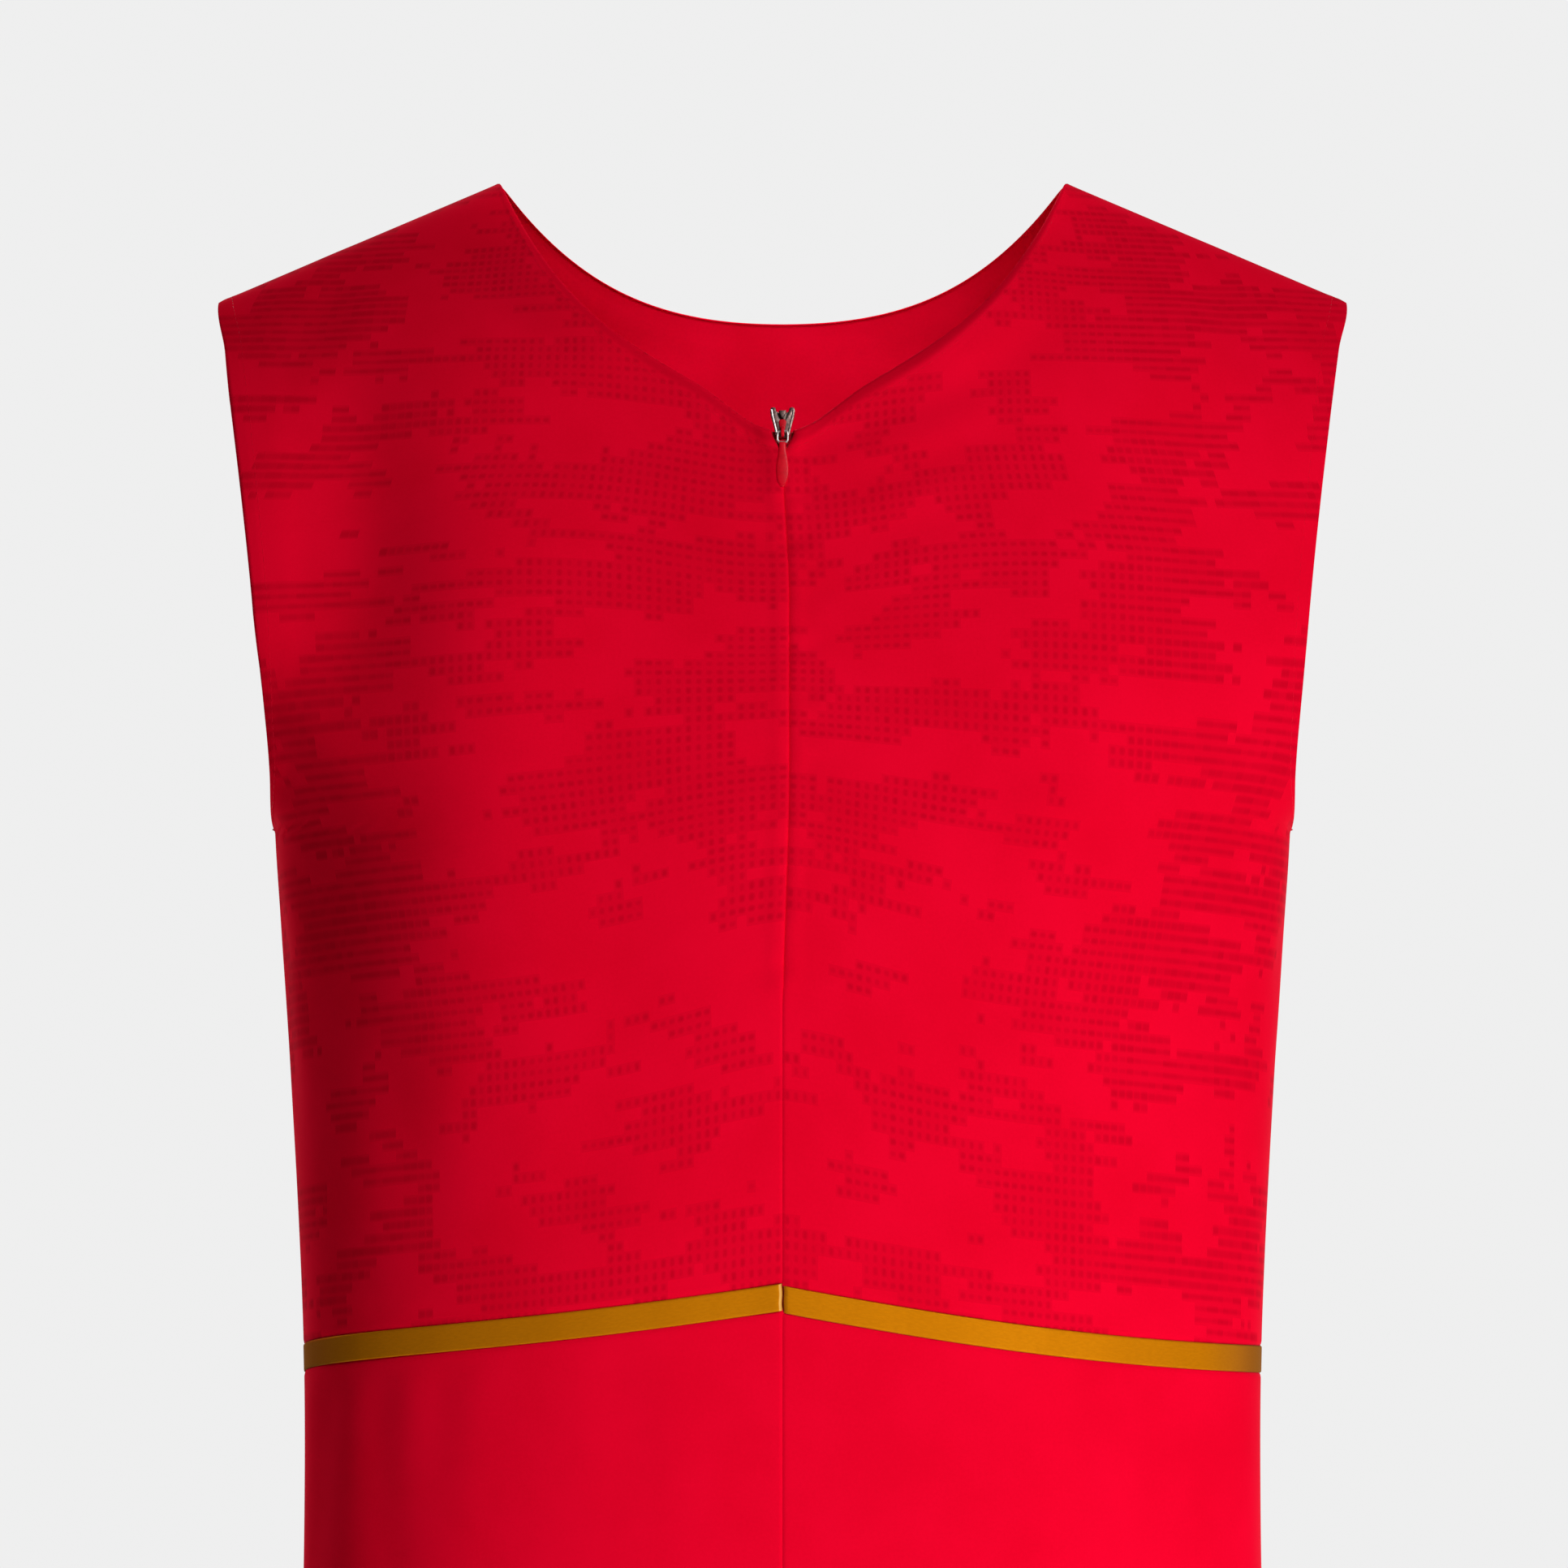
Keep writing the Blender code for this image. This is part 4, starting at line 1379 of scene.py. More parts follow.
    def rows_along(
        self, shell: ClothShell, border: Border, ways: Array, distance: float
    ) -> list[tuple[Array, Array]]:
        """One row of stitches at a distance from a border.

        Args:
            shell: The panel's shell.
            border: The border that the row follows.
            ways: Distance of each place from that border.
            distance: Distance of the row from it.

        Returns:
            The row's points and faces.
        """
        points, normals = shell.outer, shell.normals
        if border in (Border.LOW, Border.HIGH):
            points, normals, ways = (np.swapaxes(a, 0, 1) for a in (points, normals, ways))
        if border in (Border.END, Border.HIGH):
            points, normals, ways = points[:, ::-1], normals[:, ::-1], ways[:, ::-1]
        path = np.stack([read_at(distance, w, p) for w, p in zip(ways, points)])
        out = np.stack([read_at(distance, w, n) for w, n in zip(ways, normals)])
        keep = self.stitched(border, path)
        if keep.sum() < 4:
            return []
        return [Stitch().row(path[keep], out[keep])]

    def stitched(self, border: Border, path: Array) -> Array:
        """Which of a row's points carry stitches."""
        return np.ones(len(path), bool)

    def dress(self, wardrobe: Wardrobe) -> Object:
        """Builds the panel and its stitches."""
        shell = self.surface()
        made = shell.build(wardrobe[Look[self.slot.name]], wardrobe[Look.REVERSE])
        stitches = joined(f"{self.name()}_stitches", self.stitch_rows(shell), wardrobe[Look.THREAD])
        carry([made, stitches], "garment")
        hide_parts(self.name())
        wide, tall = shell.spans()
        stretch = self.girth_stretch * self.length_stretch
        shell.area() / stretch
        return made


@dataclass
class UpperPanel(ClothPanel):
    """An upper panel: from the waist seam up to the neckline and the shoulder seam."""

    neck_share: float = 0.5
    seam_share: float = 0.35
    slot: Slot = Slot.JACQUARD

    def bottom(self, across: Array) -> Array:
        """Height of the panel's lower edge at each column."""
        raise NotImplementedError

    def side_rise(self, bottom: Array, up: Array) -> Array:
        """Share of the climb up the side edge: even on the seam, closer round the armhole."""
        form = self.form
        tip = form.ridge_height(form.shoulder_half)
        turn = math.pi * np.clip((up - self.seam_share) / (1 - self.seam_share), 0, 1)
        on_seam = mix(bottom, form.underarm, np.clip(up / self.seam_share, 0, 1))
        on_armhole = mix(form.underarm, tip, (1 - np.cos(turn)) / 2)
        height = np.where(up <= self.seam_share, on_seam, on_armhole)
        return (height - bottom) / (tip - bottom)

    def locate(self, across: Array, up: Array) -> tuple[Array, Array]:
        """Angle round the form and height of each grid place."""
        form = self.form
        at_neck = across <= self.neck_share
        neck_x = form.neck_half * np.sin(math.pi / 2 * np.minimum(across / self.neck_share, 1))
        out_share = (across - self.neck_share) / (1 - self.neck_share)
        top_x = np.where(at_neck, neck_x, mix(form.neck_half, form.shoulder_half, out_share))
        top = np.where(at_neck, form.neck_height(self.face, top_x), form.ridge_height(top_x))
        bottom = self.bottom(across)
        rise = mix(np.sin(math.pi / 2 * up), self.side_rise(bottom, up), across**2)
        power = form.power(top)
        edge = form.edge_angle(self.face, top)
        reach = form.at_height("half_width", top) / across_of(edge, power)
        top_share = angle_of(top_x / reach, power) / edge
        rounded = form.rounded_top(self.face, top_x)
        height = mix(bottom, rounded, rise)
        share = np.minimum(mix(across, top_share, rise), 1)
        return share * form.edge_angle(self.face, height), height

    def side_roll(self, way: Array, height: Array) -> Array:
        """How deep the side seam rolls in, less and less up to the underarm."""
        under = 1 - ease(self.form.underarm - 34, self.form.underarm + 4, height)
        return 0.6 * self.seam_roll * roll(way, self.seam_width) * under

    def hems(self) -> list[Border]:
        """The neckline and the armhole are turned under."""
        return [Border.END, Border.HIGH]

    def hem_share(self, border: Border, height: Array) -> Array:
        """The hems end at the shoulder seam and at the underarm."""
        if border is Border.END:
            return ease(self.form.underarm - 2, self.form.underarm + 6, height)
        columns = height.shape[1]
        shares = np.abs(self.shares()[0])
        at_neck = 1 - ease(self.neck_share - 0.01, self.neck_share + 0.02, shares)
        return np.broadcast_to(at_neck, (height.shape[0], columns))

    def stitched(self, border: Border, path: Array) -> Array:
        """Stitches follow the neckline and the armholes, not the seams."""
        if border is Border.HIGH:
            return np.abs(path[:, 0]) < self.form.neck_half - 4
        return path[:, 2] > self.form.underarm + 3


@dataclass
class FrontUpper(UpperPanel):
    """A half of the upper front, with one lip of the zip."""

    zip: Zip = field(default_factory=Zip)
    lean_reach: float = 46
    side_lean: float = 26
    flares: tuple[float, float] = (8.5, 2.0)
    flare_reach: float = 64
    neck_curl: float = 0.9
    neck_curl_reach: float = 6.0
    lap_width: tuple[float, float] = (4.0, 1.2)
    lap_roll: tuple[float, float] = (0.16, 0.12)

    def name(self) -> str:
        """Name of the CAD node that the panel stands for."""
        return f"front_upper_{of_side(self.side, 'right', 'left')}"

    def shares(self) -> tuple[Array, Array]:
        """Columns close up at the zip and the armhole, rows at the waist."""
        across = graded(250, self.coarse, self.fine, 14, True, True)
        up = graded(380, self.coarse, self.fine, self.fine_reach, True, False)
        return across, up

    def bottom(self, across: Array) -> Array:
        """The waist band's upper edge."""
        return self.form.band_line(self.side, across) + 0.1

    def by_zip(self) -> bool:
        """The front carries the zip."""
        return True

    def shift(self, points: Array, top: Array) -> Array:
        """Parts the two lips round the slider."""
        below = top - points[..., 2]
        lips = self.zip.notch(below)
        x = points[..., 0]
        pull = np.clip(1 - x / self.zip.notch_pull, 0, 1)
        points[..., 0] = x + lips * pull
        return points

    def settle(self, points: Array) -> Array:
        """Lets the closed lips wander a little from the centre."""
        near = np.clip(1 - np.abs(points[..., 0]) / self.zip.drift_reach, 0, 1)
        points[..., 0] += self.zip.line(points[..., 2]) * near * near * (3 - 2 * near)
        points[..., 1] -= self.flare(points)
        return points

    def flare(self, points: Array) -> Array:
        """How far the cloth stands forward along the armhole, more on the wearer's right."""
        most = of_side(self.side, *self.flares)
        height = points[..., 2]
        level = ease(-200, -150, height) * (1 - ease(-78, -34, height))
        inside = self.edge_ways(points)[Border.END]
        return most * level * roll(inside, self.flare_reach)

    def seams(self) -> dict[Border, float]:
        """Sewn at the waist and at the side; the centre is shaped by the zip."""
        return {Border.LOW: 1.0}

    def shape(self, points: Array, girth: Array, edges: dict[Border, Array]) -> Array:
        """The zip's rolled lips, the chain under them, and the plain seam below its end."""
        way = edges[Border.START]
        height = points[..., 2]
        zipped = ease(self.zip.end - 6, self.zip.end + 8, height)
        lip = roll(way, of_side(self.side, *self.zip.lip_width)) * of_side(self.side, *self.zip.lip_roll)
        seam = roll(way, of_side(self.side, *self.lap_width)) * of_side(self.side, *self.lap_roll)
        chain = 0.14 * hump(way - 3.4, 2.4) - 0.10 * hump(way - 6.4, 0.9)
        if self.side is Side.RIGHT:
            chain = chain + 0.18 * hump(way, 5)
        tack = 0.35 * hump(way, 2.4) * hump(height - self.zip.end - 4, 3.5)
        side_seam = self.side_roll(edges[Border.END], height)
        at_neck = ease(7, 24, np.abs(points[..., 0])) * (1 - ease(0.36, 0.49, self.shares()[0]))
        curl = at_neck * self.neck_curl * roll(edges[Border.HIGH], self.neck_curl_reach)
        return zipped * (chain - lip) - (1 - zipped) * seam + tack - side_seam - curl

    def meet(self, outer: Array, edges: dict[Border, Array]) -> Array:
        """The two halves meet below the zip."""
        below = 1 - ease(self.zip.end - 12, self.zip.end + 2, outer[..., 2])
        outer[..., 0] -= self.drawn(outer, edges, self.form.band_top - 20) * below
        return outer

    def cloth_along(self, girth: Array, height: Array) -> Array:
        """Columns of the knit are widest over the chest, and closer at the waist and the neck."""
        return girth * np.interp(height, (-290, -205, -130, -90, 20), (1.12, 1.0, 1.0, 1.10, 1.14))

    def cloth_up(self, girth: Array, height: Array) -> Array:
        """Rows dip to the centre on the chest and rise to it over the ribs, closer further up."""
        way = np.abs(girth)
        knots = (-420, -380, -333, -290, -240, -204, -174, -154, -139, -104, -60, 20)
        dips = (1.0, 2.0, 6.0, 9.5, 10.0, 3.5, -3.0, -8.0, -12.5, -13.0, -9.0, -5.0)
        dip = np.interp(height, knots, dips)
        fall = self.side_lean * np.interp(height, (-380, -209, -150, -60), (1.08, 0.92, 0.5, 0.1))
        lean = dip * hump(way, self.lean_reach) - fall * way / 250
        rows = (-420, -235, -180, -147, -110, -70, -45, 20)
        climbs = (-420, -235, -176.4, -138.1, -94.1, -44.1, -9.0, 98.3)
        return np.interp(height, rows, climbs) - lean

    def hem_way(self, edges: dict[Border, Array]) -> Array:
        """The cloth lies double along the neckline, not along the shoulder seam."""
        past_neck = ease(self.neck_share - 0.05, self.neck_share, self.shares()[0])
        way = edges[Border.HIGH] + 60 * past_neck
        return np.stack([way, 0 * way], axis=-1)


@dataclass
class BackUpper(UpperPanel):
    """The whole upper back in one piece."""

    slot: Slot = Slot.PLAIN

    def name(self) -> str:
        """Name of the CAD node that the panel stands for."""
        return "back_upper"

    def shares(self) -> tuple[Array, Array]:
        """Columns on both sides of the centre, closer at the armholes."""
        across = graded(250, self.coarse + 0.5, self.fine, 12, False, True)
        up = graded(405, self.coarse + 0.3, self.fine, self.fine_reach, True, False)
        return np.concatenate([-across[:0:-1], across]), up

    def bottom(self, across: Array) -> Array:
        """The level waist seam."""
        return np.full(across.shape, self.form.back_waist() + 0.1)

    def hems(self) -> list[Border]:
        """The neckline and both armholes are turned under."""
        return [Border.START, Border.END, Border.HIGH]

    def hem_share(self, border: Border, height: Array) -> Array:
        """Both sides end alike."""
        return super().hem_share(Border.END if border is Border.START else border, height)

    def seams(self) -> dict[Border, float]:
        """Sewn at the waist."""
        return {Border.LOW: 1.0}

    def calm(self, edges: dict[Border, Array]) -> Array:
        """Creases fade at both sides and at the waist seam."""
        near = np.minimum(edges[Border.START], edges[Border.END])
        return ease(-2, self.calm_reach, near) * ease(-1, 14, edges[Border.LOW])

    def shape(self, points: Array, girth: Array, edges: dict[Border, Array]) -> Array:
        """The side seams under the arms."""
        return -self.side_roll(np.minimum(edges[Border.START], edges[Border.END]), points[..., 2])


@dataclass
class LowerPanel(ClothPanel):
    """A lower panel: from the waist seam over the hip and down one short leg."""

    crotch_share: float = 0.7

    def name(self) -> str:
        """Name of the CAD node that the panel stands for."""
        return f"{of_face(self.face, 'front', 'back')}_lower_{of_side(self.side, 'right', 'left')}"

    def shares(self) -> tuple[Array, Array]:
        """Columns close up at the centre and side seams, rows at the waist and the hem."""
        across = graded(250, self.coarse + 0.3, self.fine, 8, True, True)
        down = graded(500, self.coarse + 0.4, self.fine, 10, True, True)
        return across, down

    def locate(self, across: Array, up: Array) -> tuple[Array, Array]:
        """Angle round the form and height of each grid place, waist first."""
        form = self.form
        top = form.back_waist() + 0 * across
        if self.face is Face.FRONT:
            top = form.band_line(self.side, across) - form.band_height
        turn = np.sin(math.pi / 2 * np.minimum(up / self.crotch_share, 1))
        on_leg = (up - self.crotch_share) / (1 - self.crotch_share)
        above = mix(top - 0.1, form.crotch, turn)
        height = np.where(up <= self.crotch_share, above, mix(form.crotch, form.hem, on_leg))
        angle = mix(form.inner_angle(height), math.pi / 2, across)
        return angle, height

    def seams(self) -> dict[Border, float]:
        """Sewn at the waist, the centre and inside leg, and the side."""
        return {Border.LOW: 1.0, Border.START: 0.85, Border.END: 1.0}

    def hems(self) -> list[Border]:
        """The leg opening is turned under."""
        return [Border.HIGH]

    def roll_depth(self, border: Border, points: Array, normals: Array) -> Array:
        """Little roll where the two thighs meet, just above the crotch."""
        if border is not Border.START:
            return super().roll_depth(border, points, normals)
        on_leg = 1 - ease(self.form.crotch - 14, self.form.crotch - 2, points[..., 2])
        apart = np.maximum(np.abs(normals[..., 1]), on_leg)
        return self.centre_roll() * apart

    def centre_roll(self) -> float:
        """The front's centre seam lies almost flat, its wearer's left half on top."""
        return of_face(self.face, of_side(self.side, 0.18, 0.13), 0.45)

    def meet(self, outer: Array, edges: dict[Border, Array]) -> Array:
        """The two halves meet down the centre as far as the crotch."""
        outer[..., 0] -= self.drawn(outer, edges, self.form.crotch + 3)
        return outer


# ---------------------------------------------------------------- band, tapes and chain


@dataclass
class WaistBand:
    """A half of the gold band, its centre end folded under."""

    form: BodyForm
    side: Side
    wall: float = 0.6
    proud: float = 0.10
    inset: float = 0.12
    ends: tuple[float, float] = (0.30, 0.52)
    end_wave: float = 0.10
    end_reach: float = 8
    laps: tuple[float, float] = (0.35, -0.05)
    slack: float = 0.06
    cut_width_m: float = 0.010
    length_stretch: float = 1.04

    def name(self) -> str:
        """Name of the CAD node that the band stands for."""
        return f"band_{of_side(self.side, 'right', 'left')}"

    def surface(self) -> ClothShell:
        """The band's shell, rounded at all its edges."""
        across = graded(245, 1.6, 0.3, 8, True, True)
        up = graded(self.form.band_height, 0.8, 0.22, 2.5, True, True)
        columns, rows = np.meshgrid(across, up)
        top = self.form.band_line(self.side, columns) - self.inset
        height = mix(top - self.form.band_height + 2 * self.inset, top, rows)
        angle = columns * math.pi / 2
        points = self.form.point(Face.FRONT, angle, height)
        end = of_side(self.side, *self.ends) + self.end_wave * np.sin(9 * rows + self.side)
        pull = np.clip(1 - points[..., 0] / self.end_reach, 0, 1)
        points[..., 0] += end * pull
        points[..., 0] *= self.side
        normals = unit(np.cross(np.gradient(points, axis=1), np.gradient(points, axis=0)))
        if normals[len(up) // 2, len(across) // 2][1] > 0:
            normals = -normals
        girth = self.form.girth_to(Face.FRONT, angle, height)
        from_edge = np.minimum(rows, 1 - rows) * self.form.band_height
        rounded = 0.05 * roll(from_edge, 0.5)
        fold = of_side(self.side, *self.laps) * hump(girth, 7) - 0.55 * roll(girth, 1.2)
        slack = self.slack * np.sin(girth / 17 + self.side) * np.sin(girth / 41 + 2 * self.side)
        outer = points + normals * (self.proud - rounded + fold + slack)[..., None]
        cloth = np.stack([girth * self.side, height - top], axis=-1)
        return ClothShell(f"{self.name()}_tape", outer, normals, self.wall, cloth)

    def dress(self, wardrobe: Wardrobe) -> Object:
        """Builds the band and logs the size of its flat cut."""
        shell = self.surface()
        made = shell.build(wardrobe[Look.GOLD], wardrobe[Look.REVERSE])
        carry([made], "garment")
        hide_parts(self.name())
        flat = (shell.spans()[0] / self.length_stretch, self.cut_width_m)
        LOG.info("%s: cut %.0f x %.0f mm", made.name, flat[0] / MM, flat[1] / MM)
        return made


@dataclass
class ZipTape:
    """A woven tape behind a front edge, with its row of teeth."""

    front: FrontUpper
    shell: ClothShell
    wall: float = 0.8
    tooth_pitch: float = 1.45
    tooth_wide: float = 2.3
    tooth_thick: float = 0.42
    tooth_depth: float = 1.25
    tooth_aside: float = 0.55

    def name(self) -> str:
        """Name of the CAD node that the tape stands for."""
        return f"zip_tape_{of_side(self.front.side, 'right', 'left')}"

    def centre_line(self) -> tuple[Array, Array]:
        """Points and outward directions down the front edge, top first, on the CAD tape's length."""
        low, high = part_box(self.name())
        edge = self.shell.outer[:, 0]
        out = self.shell.normals[:, 12]
        keep = (edge[:, 2] > low.z / MM) & (edge[:, 2] < high.z / MM)
        return edge[keep], out[keep]

    def surface(self) -> ClothShell:
        """The tape's shell, behind the cloth."""
        edge, out = self.centre_line()
        sizes = self.front.zip
        aside = np.linspace(0, 1, 9)[None, :] * sizes.tape_width
        depth = sizes.wall + sizes.layer_gap + 0.5
        side = self.front.side
        ease_in = hump(aside, 3.5) * 0.3
        points = edge[:, None, :] * np.array([0, 1, 1]) - out[:, None, :] * (depth + ease_in)[..., None]
        points[..., 0] += side * (aside + 0.2)
        points[..., 1] += 0.25 * aside**2 / 95
        normals = np.broadcast_to(out[:, None, :], points.shape)
        cloth = np.stack([side * aside + 0 * edge[:, :1], 0 * aside + edge[:, 2:3]], axis=-1)
        return ClothShell(f"{self.name()}_weave", points, normals, self.wall, cloth)

    def teeth(self, look: Material) -> Object:
        """The tape's row of moulded coil teeth, meshed with the other row."""
        edge, out = self.centre_line()
        along = lengths(edge)
        offset = of_side(self.front.side, 0, self.tooth_pitch / 2)
        stops = np.arange(2 + offset, along[-1] - 2, self.tooth_pitch)
        normals = unit(read_at(stops, along, out))
        centres = read_at(stops, along, edge) * np.array([0, 1, 1]) - normals * self.tooth_depth
        centres[:, 0] = self.front.zip.line(centres[:, 2]) + self.front.side * self.tooth_aside
        across = np.zeros_like(centres)
        across[:, 0] = 1
        pad = Stitch(length=self.tooth_wide, thread=self.tooth_thick, sides=5)
        return joined(f"{self.name()}_teeth", [pad.capsules(centres, across, normals)], look)

    def dress(self, wardrobe: Wardrobe) -> Object:
        """Builds the tape and its teeth, and logs its length."""
        shell = self.surface()
        made = shell.build(wardrobe[Look.TAPE], wardrobe[Look.TAPE])
        teeth = self.teeth(wardrobe[Look.LACQUER])
        carry([made, teeth], "garment")
        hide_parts(self.name())
        shell.spans()
        LOG.info("%s: %.0f mm long", made.name, shell.spans()[1] / MM)
        return made


# ---------------------------------------------------------------- slider and pull tab


@dataclass(frozen=True)
class ZipFrame:
    """Frame at the neckline's lowest point: X aside, Y up along the cloth, Z outwards."""

    form: BodyForm
    lift: float = 3.0
    bridge_drop: float = 3.6
    tunnel: float = 2.2

    def matrix(self) -> Matrix:
        """The frame in the garment's space, in millimetres."""
        top = float(self.form.neck_height(Face.FRONT, np.array(0.0)))
        angle = np.array([0.0, 0.0])
        low, high = self.form.point(Face.FRONT, angle, np.array([top - 0.5, top + 0.5]))
        up = Vector(high - low).normalized()
        aside = Vector((1, 0, 0))
        made = Matrix((aside, up, aside.cross(up))).transposed().to_4x4()
        made.translation = Vector(self.form.point(Face.FRONT, angle[:1], np.array([top]))[0])
        return made

    def slider(self) -> Matrix:
        """Frame in the middle of the slider."""
        return self.matrix() @ Matrix.Translation((0, self.lift, 0))

    def pivot(self) -> Matrix:
        """Frame on the pull tab's axis."""
        rise = (0, self.lift - self.bridge_drop, self.tunnel / 2)
        return self.matrix() @ Matrix.Translation(rise)


def plate(outline: list[tuple[float, float]], low: float, high: float, bevel: float) -> bmesh.types.BMesh:
    """A flat plate with rounded edges.

    Args:
        outline: Corners in order.
        low: Height of its under side.
        high: Height of its upper side.
        bevel: Radius of its edges.

    Returns:
        The plate as a bmesh.
    """
    solid = bmesh.new()
    corners = [solid.verts.new((x, y, low)) for x, y in outline]
    base = solid.faces.new(corners)
    grown = bmesh.ops.extrude_face_region(solid, geom=[base])
    lifted = [item for item in grown["geom"] if isinstance(item, bmesh.types.BMVert)]
    bmesh.ops.translate(solid, verts=lifted, vec=(0, 0, high - low))
    bmesh.ops.recalc_face_normals(solid, faces=solid.faces)
    sharp = [edge for edge in solid.edges if edge.calc_face_angle(0) > math.radians(50)]
    bmesh.ops.bevel(solid, geom=sharp, offset=bevel, segments=3, profile=0.5, affect="EDGES")
    return solid


def place_solid(name: str, solid: bmesh.types.BMesh, matrix: Matrix, look: Material) -> Object:
    """An object from a bmesh in millimetres, placed by a matrix in millimetres.

    Args:
        name: Name of the object.
        solid: The shape, which is used up.
        matrix: Its place.
        look: Its material.

    Returns:
        The object, linked to the scene.
    """
    solid.transform(matrix)
    solid.transform(Matrix.Scale(MM, 4))
    mesh = bpy.data.meshes.new(name)
    solid.to_mesh(mesh)
    solid.free()
    mesh.materials.append(look)
    mesh.shade_smooth()
    mesh.set_sharp_from_angle(angle=math.radians(40))
    return linked(name, mesh)


def skin(rings: list[list[Vector]], closed: bool) -> bmesh.types.BMesh:
    """A closed body through rings of points.

    Args:
        rings: Points of each ring, as many in each.
        closed: Whether the last ring joins the first; otherwise both are capped.

    Returns:
        The body as a bmesh.
    """
    solid = bmesh.new()
    hoops = [[solid.verts.new(point) for point in ring] for ring in rings]
    pairs = list(zip(hoops, hoops[1:])) + ([(hoops[-1], hoops[0])] if closed else [])
    for first, second in pairs:
        for k in range(len(first)):
            n = (k + 1) % len(first)
            solid.faces.new((first[k], first[n], second[n], second[k]))
    if not closed:
        solid.faces.new(hoops[0])
        solid.faces.new(hoops[-1])
    bmesh.ops.recalc_face_normals(solid, faces=solid.faces)
    return solid


def tube(path: list[Vector], radius: float, sides: int, closed: bool) -> bmesh.types.BMesh:
    """A round wire along a path.

    Args:
        path: Points of its centre line.
        radius: Radius of the wire.
        sides: Number of sides.
        closed: Whether the wire is a loop.

    Returns:
        The wire as a bmesh.
    """
    rings = []
    count = len(path)
    for i, point in enumerate(path):
        ahead = path[(i + 1) % count] if closed or i < count - 1 else point
        behind = path[i - 1] if closed or i > 0 else point
        run = (ahead - behind).normalized()
        aside = run.cross(Vector((0, 0, 1)))
        aside = aside.normalized() if aside.length > 0.1 else Vector((1, 0, 0))
        over = aside.cross(run)
        turns = [math.tau * k / sides for k in range(sides)]
        rings.append([point + radius * (aside * math.cos(turn) + over * math.sin(turn)) for turn in turns])
    return skin(rings, closed)


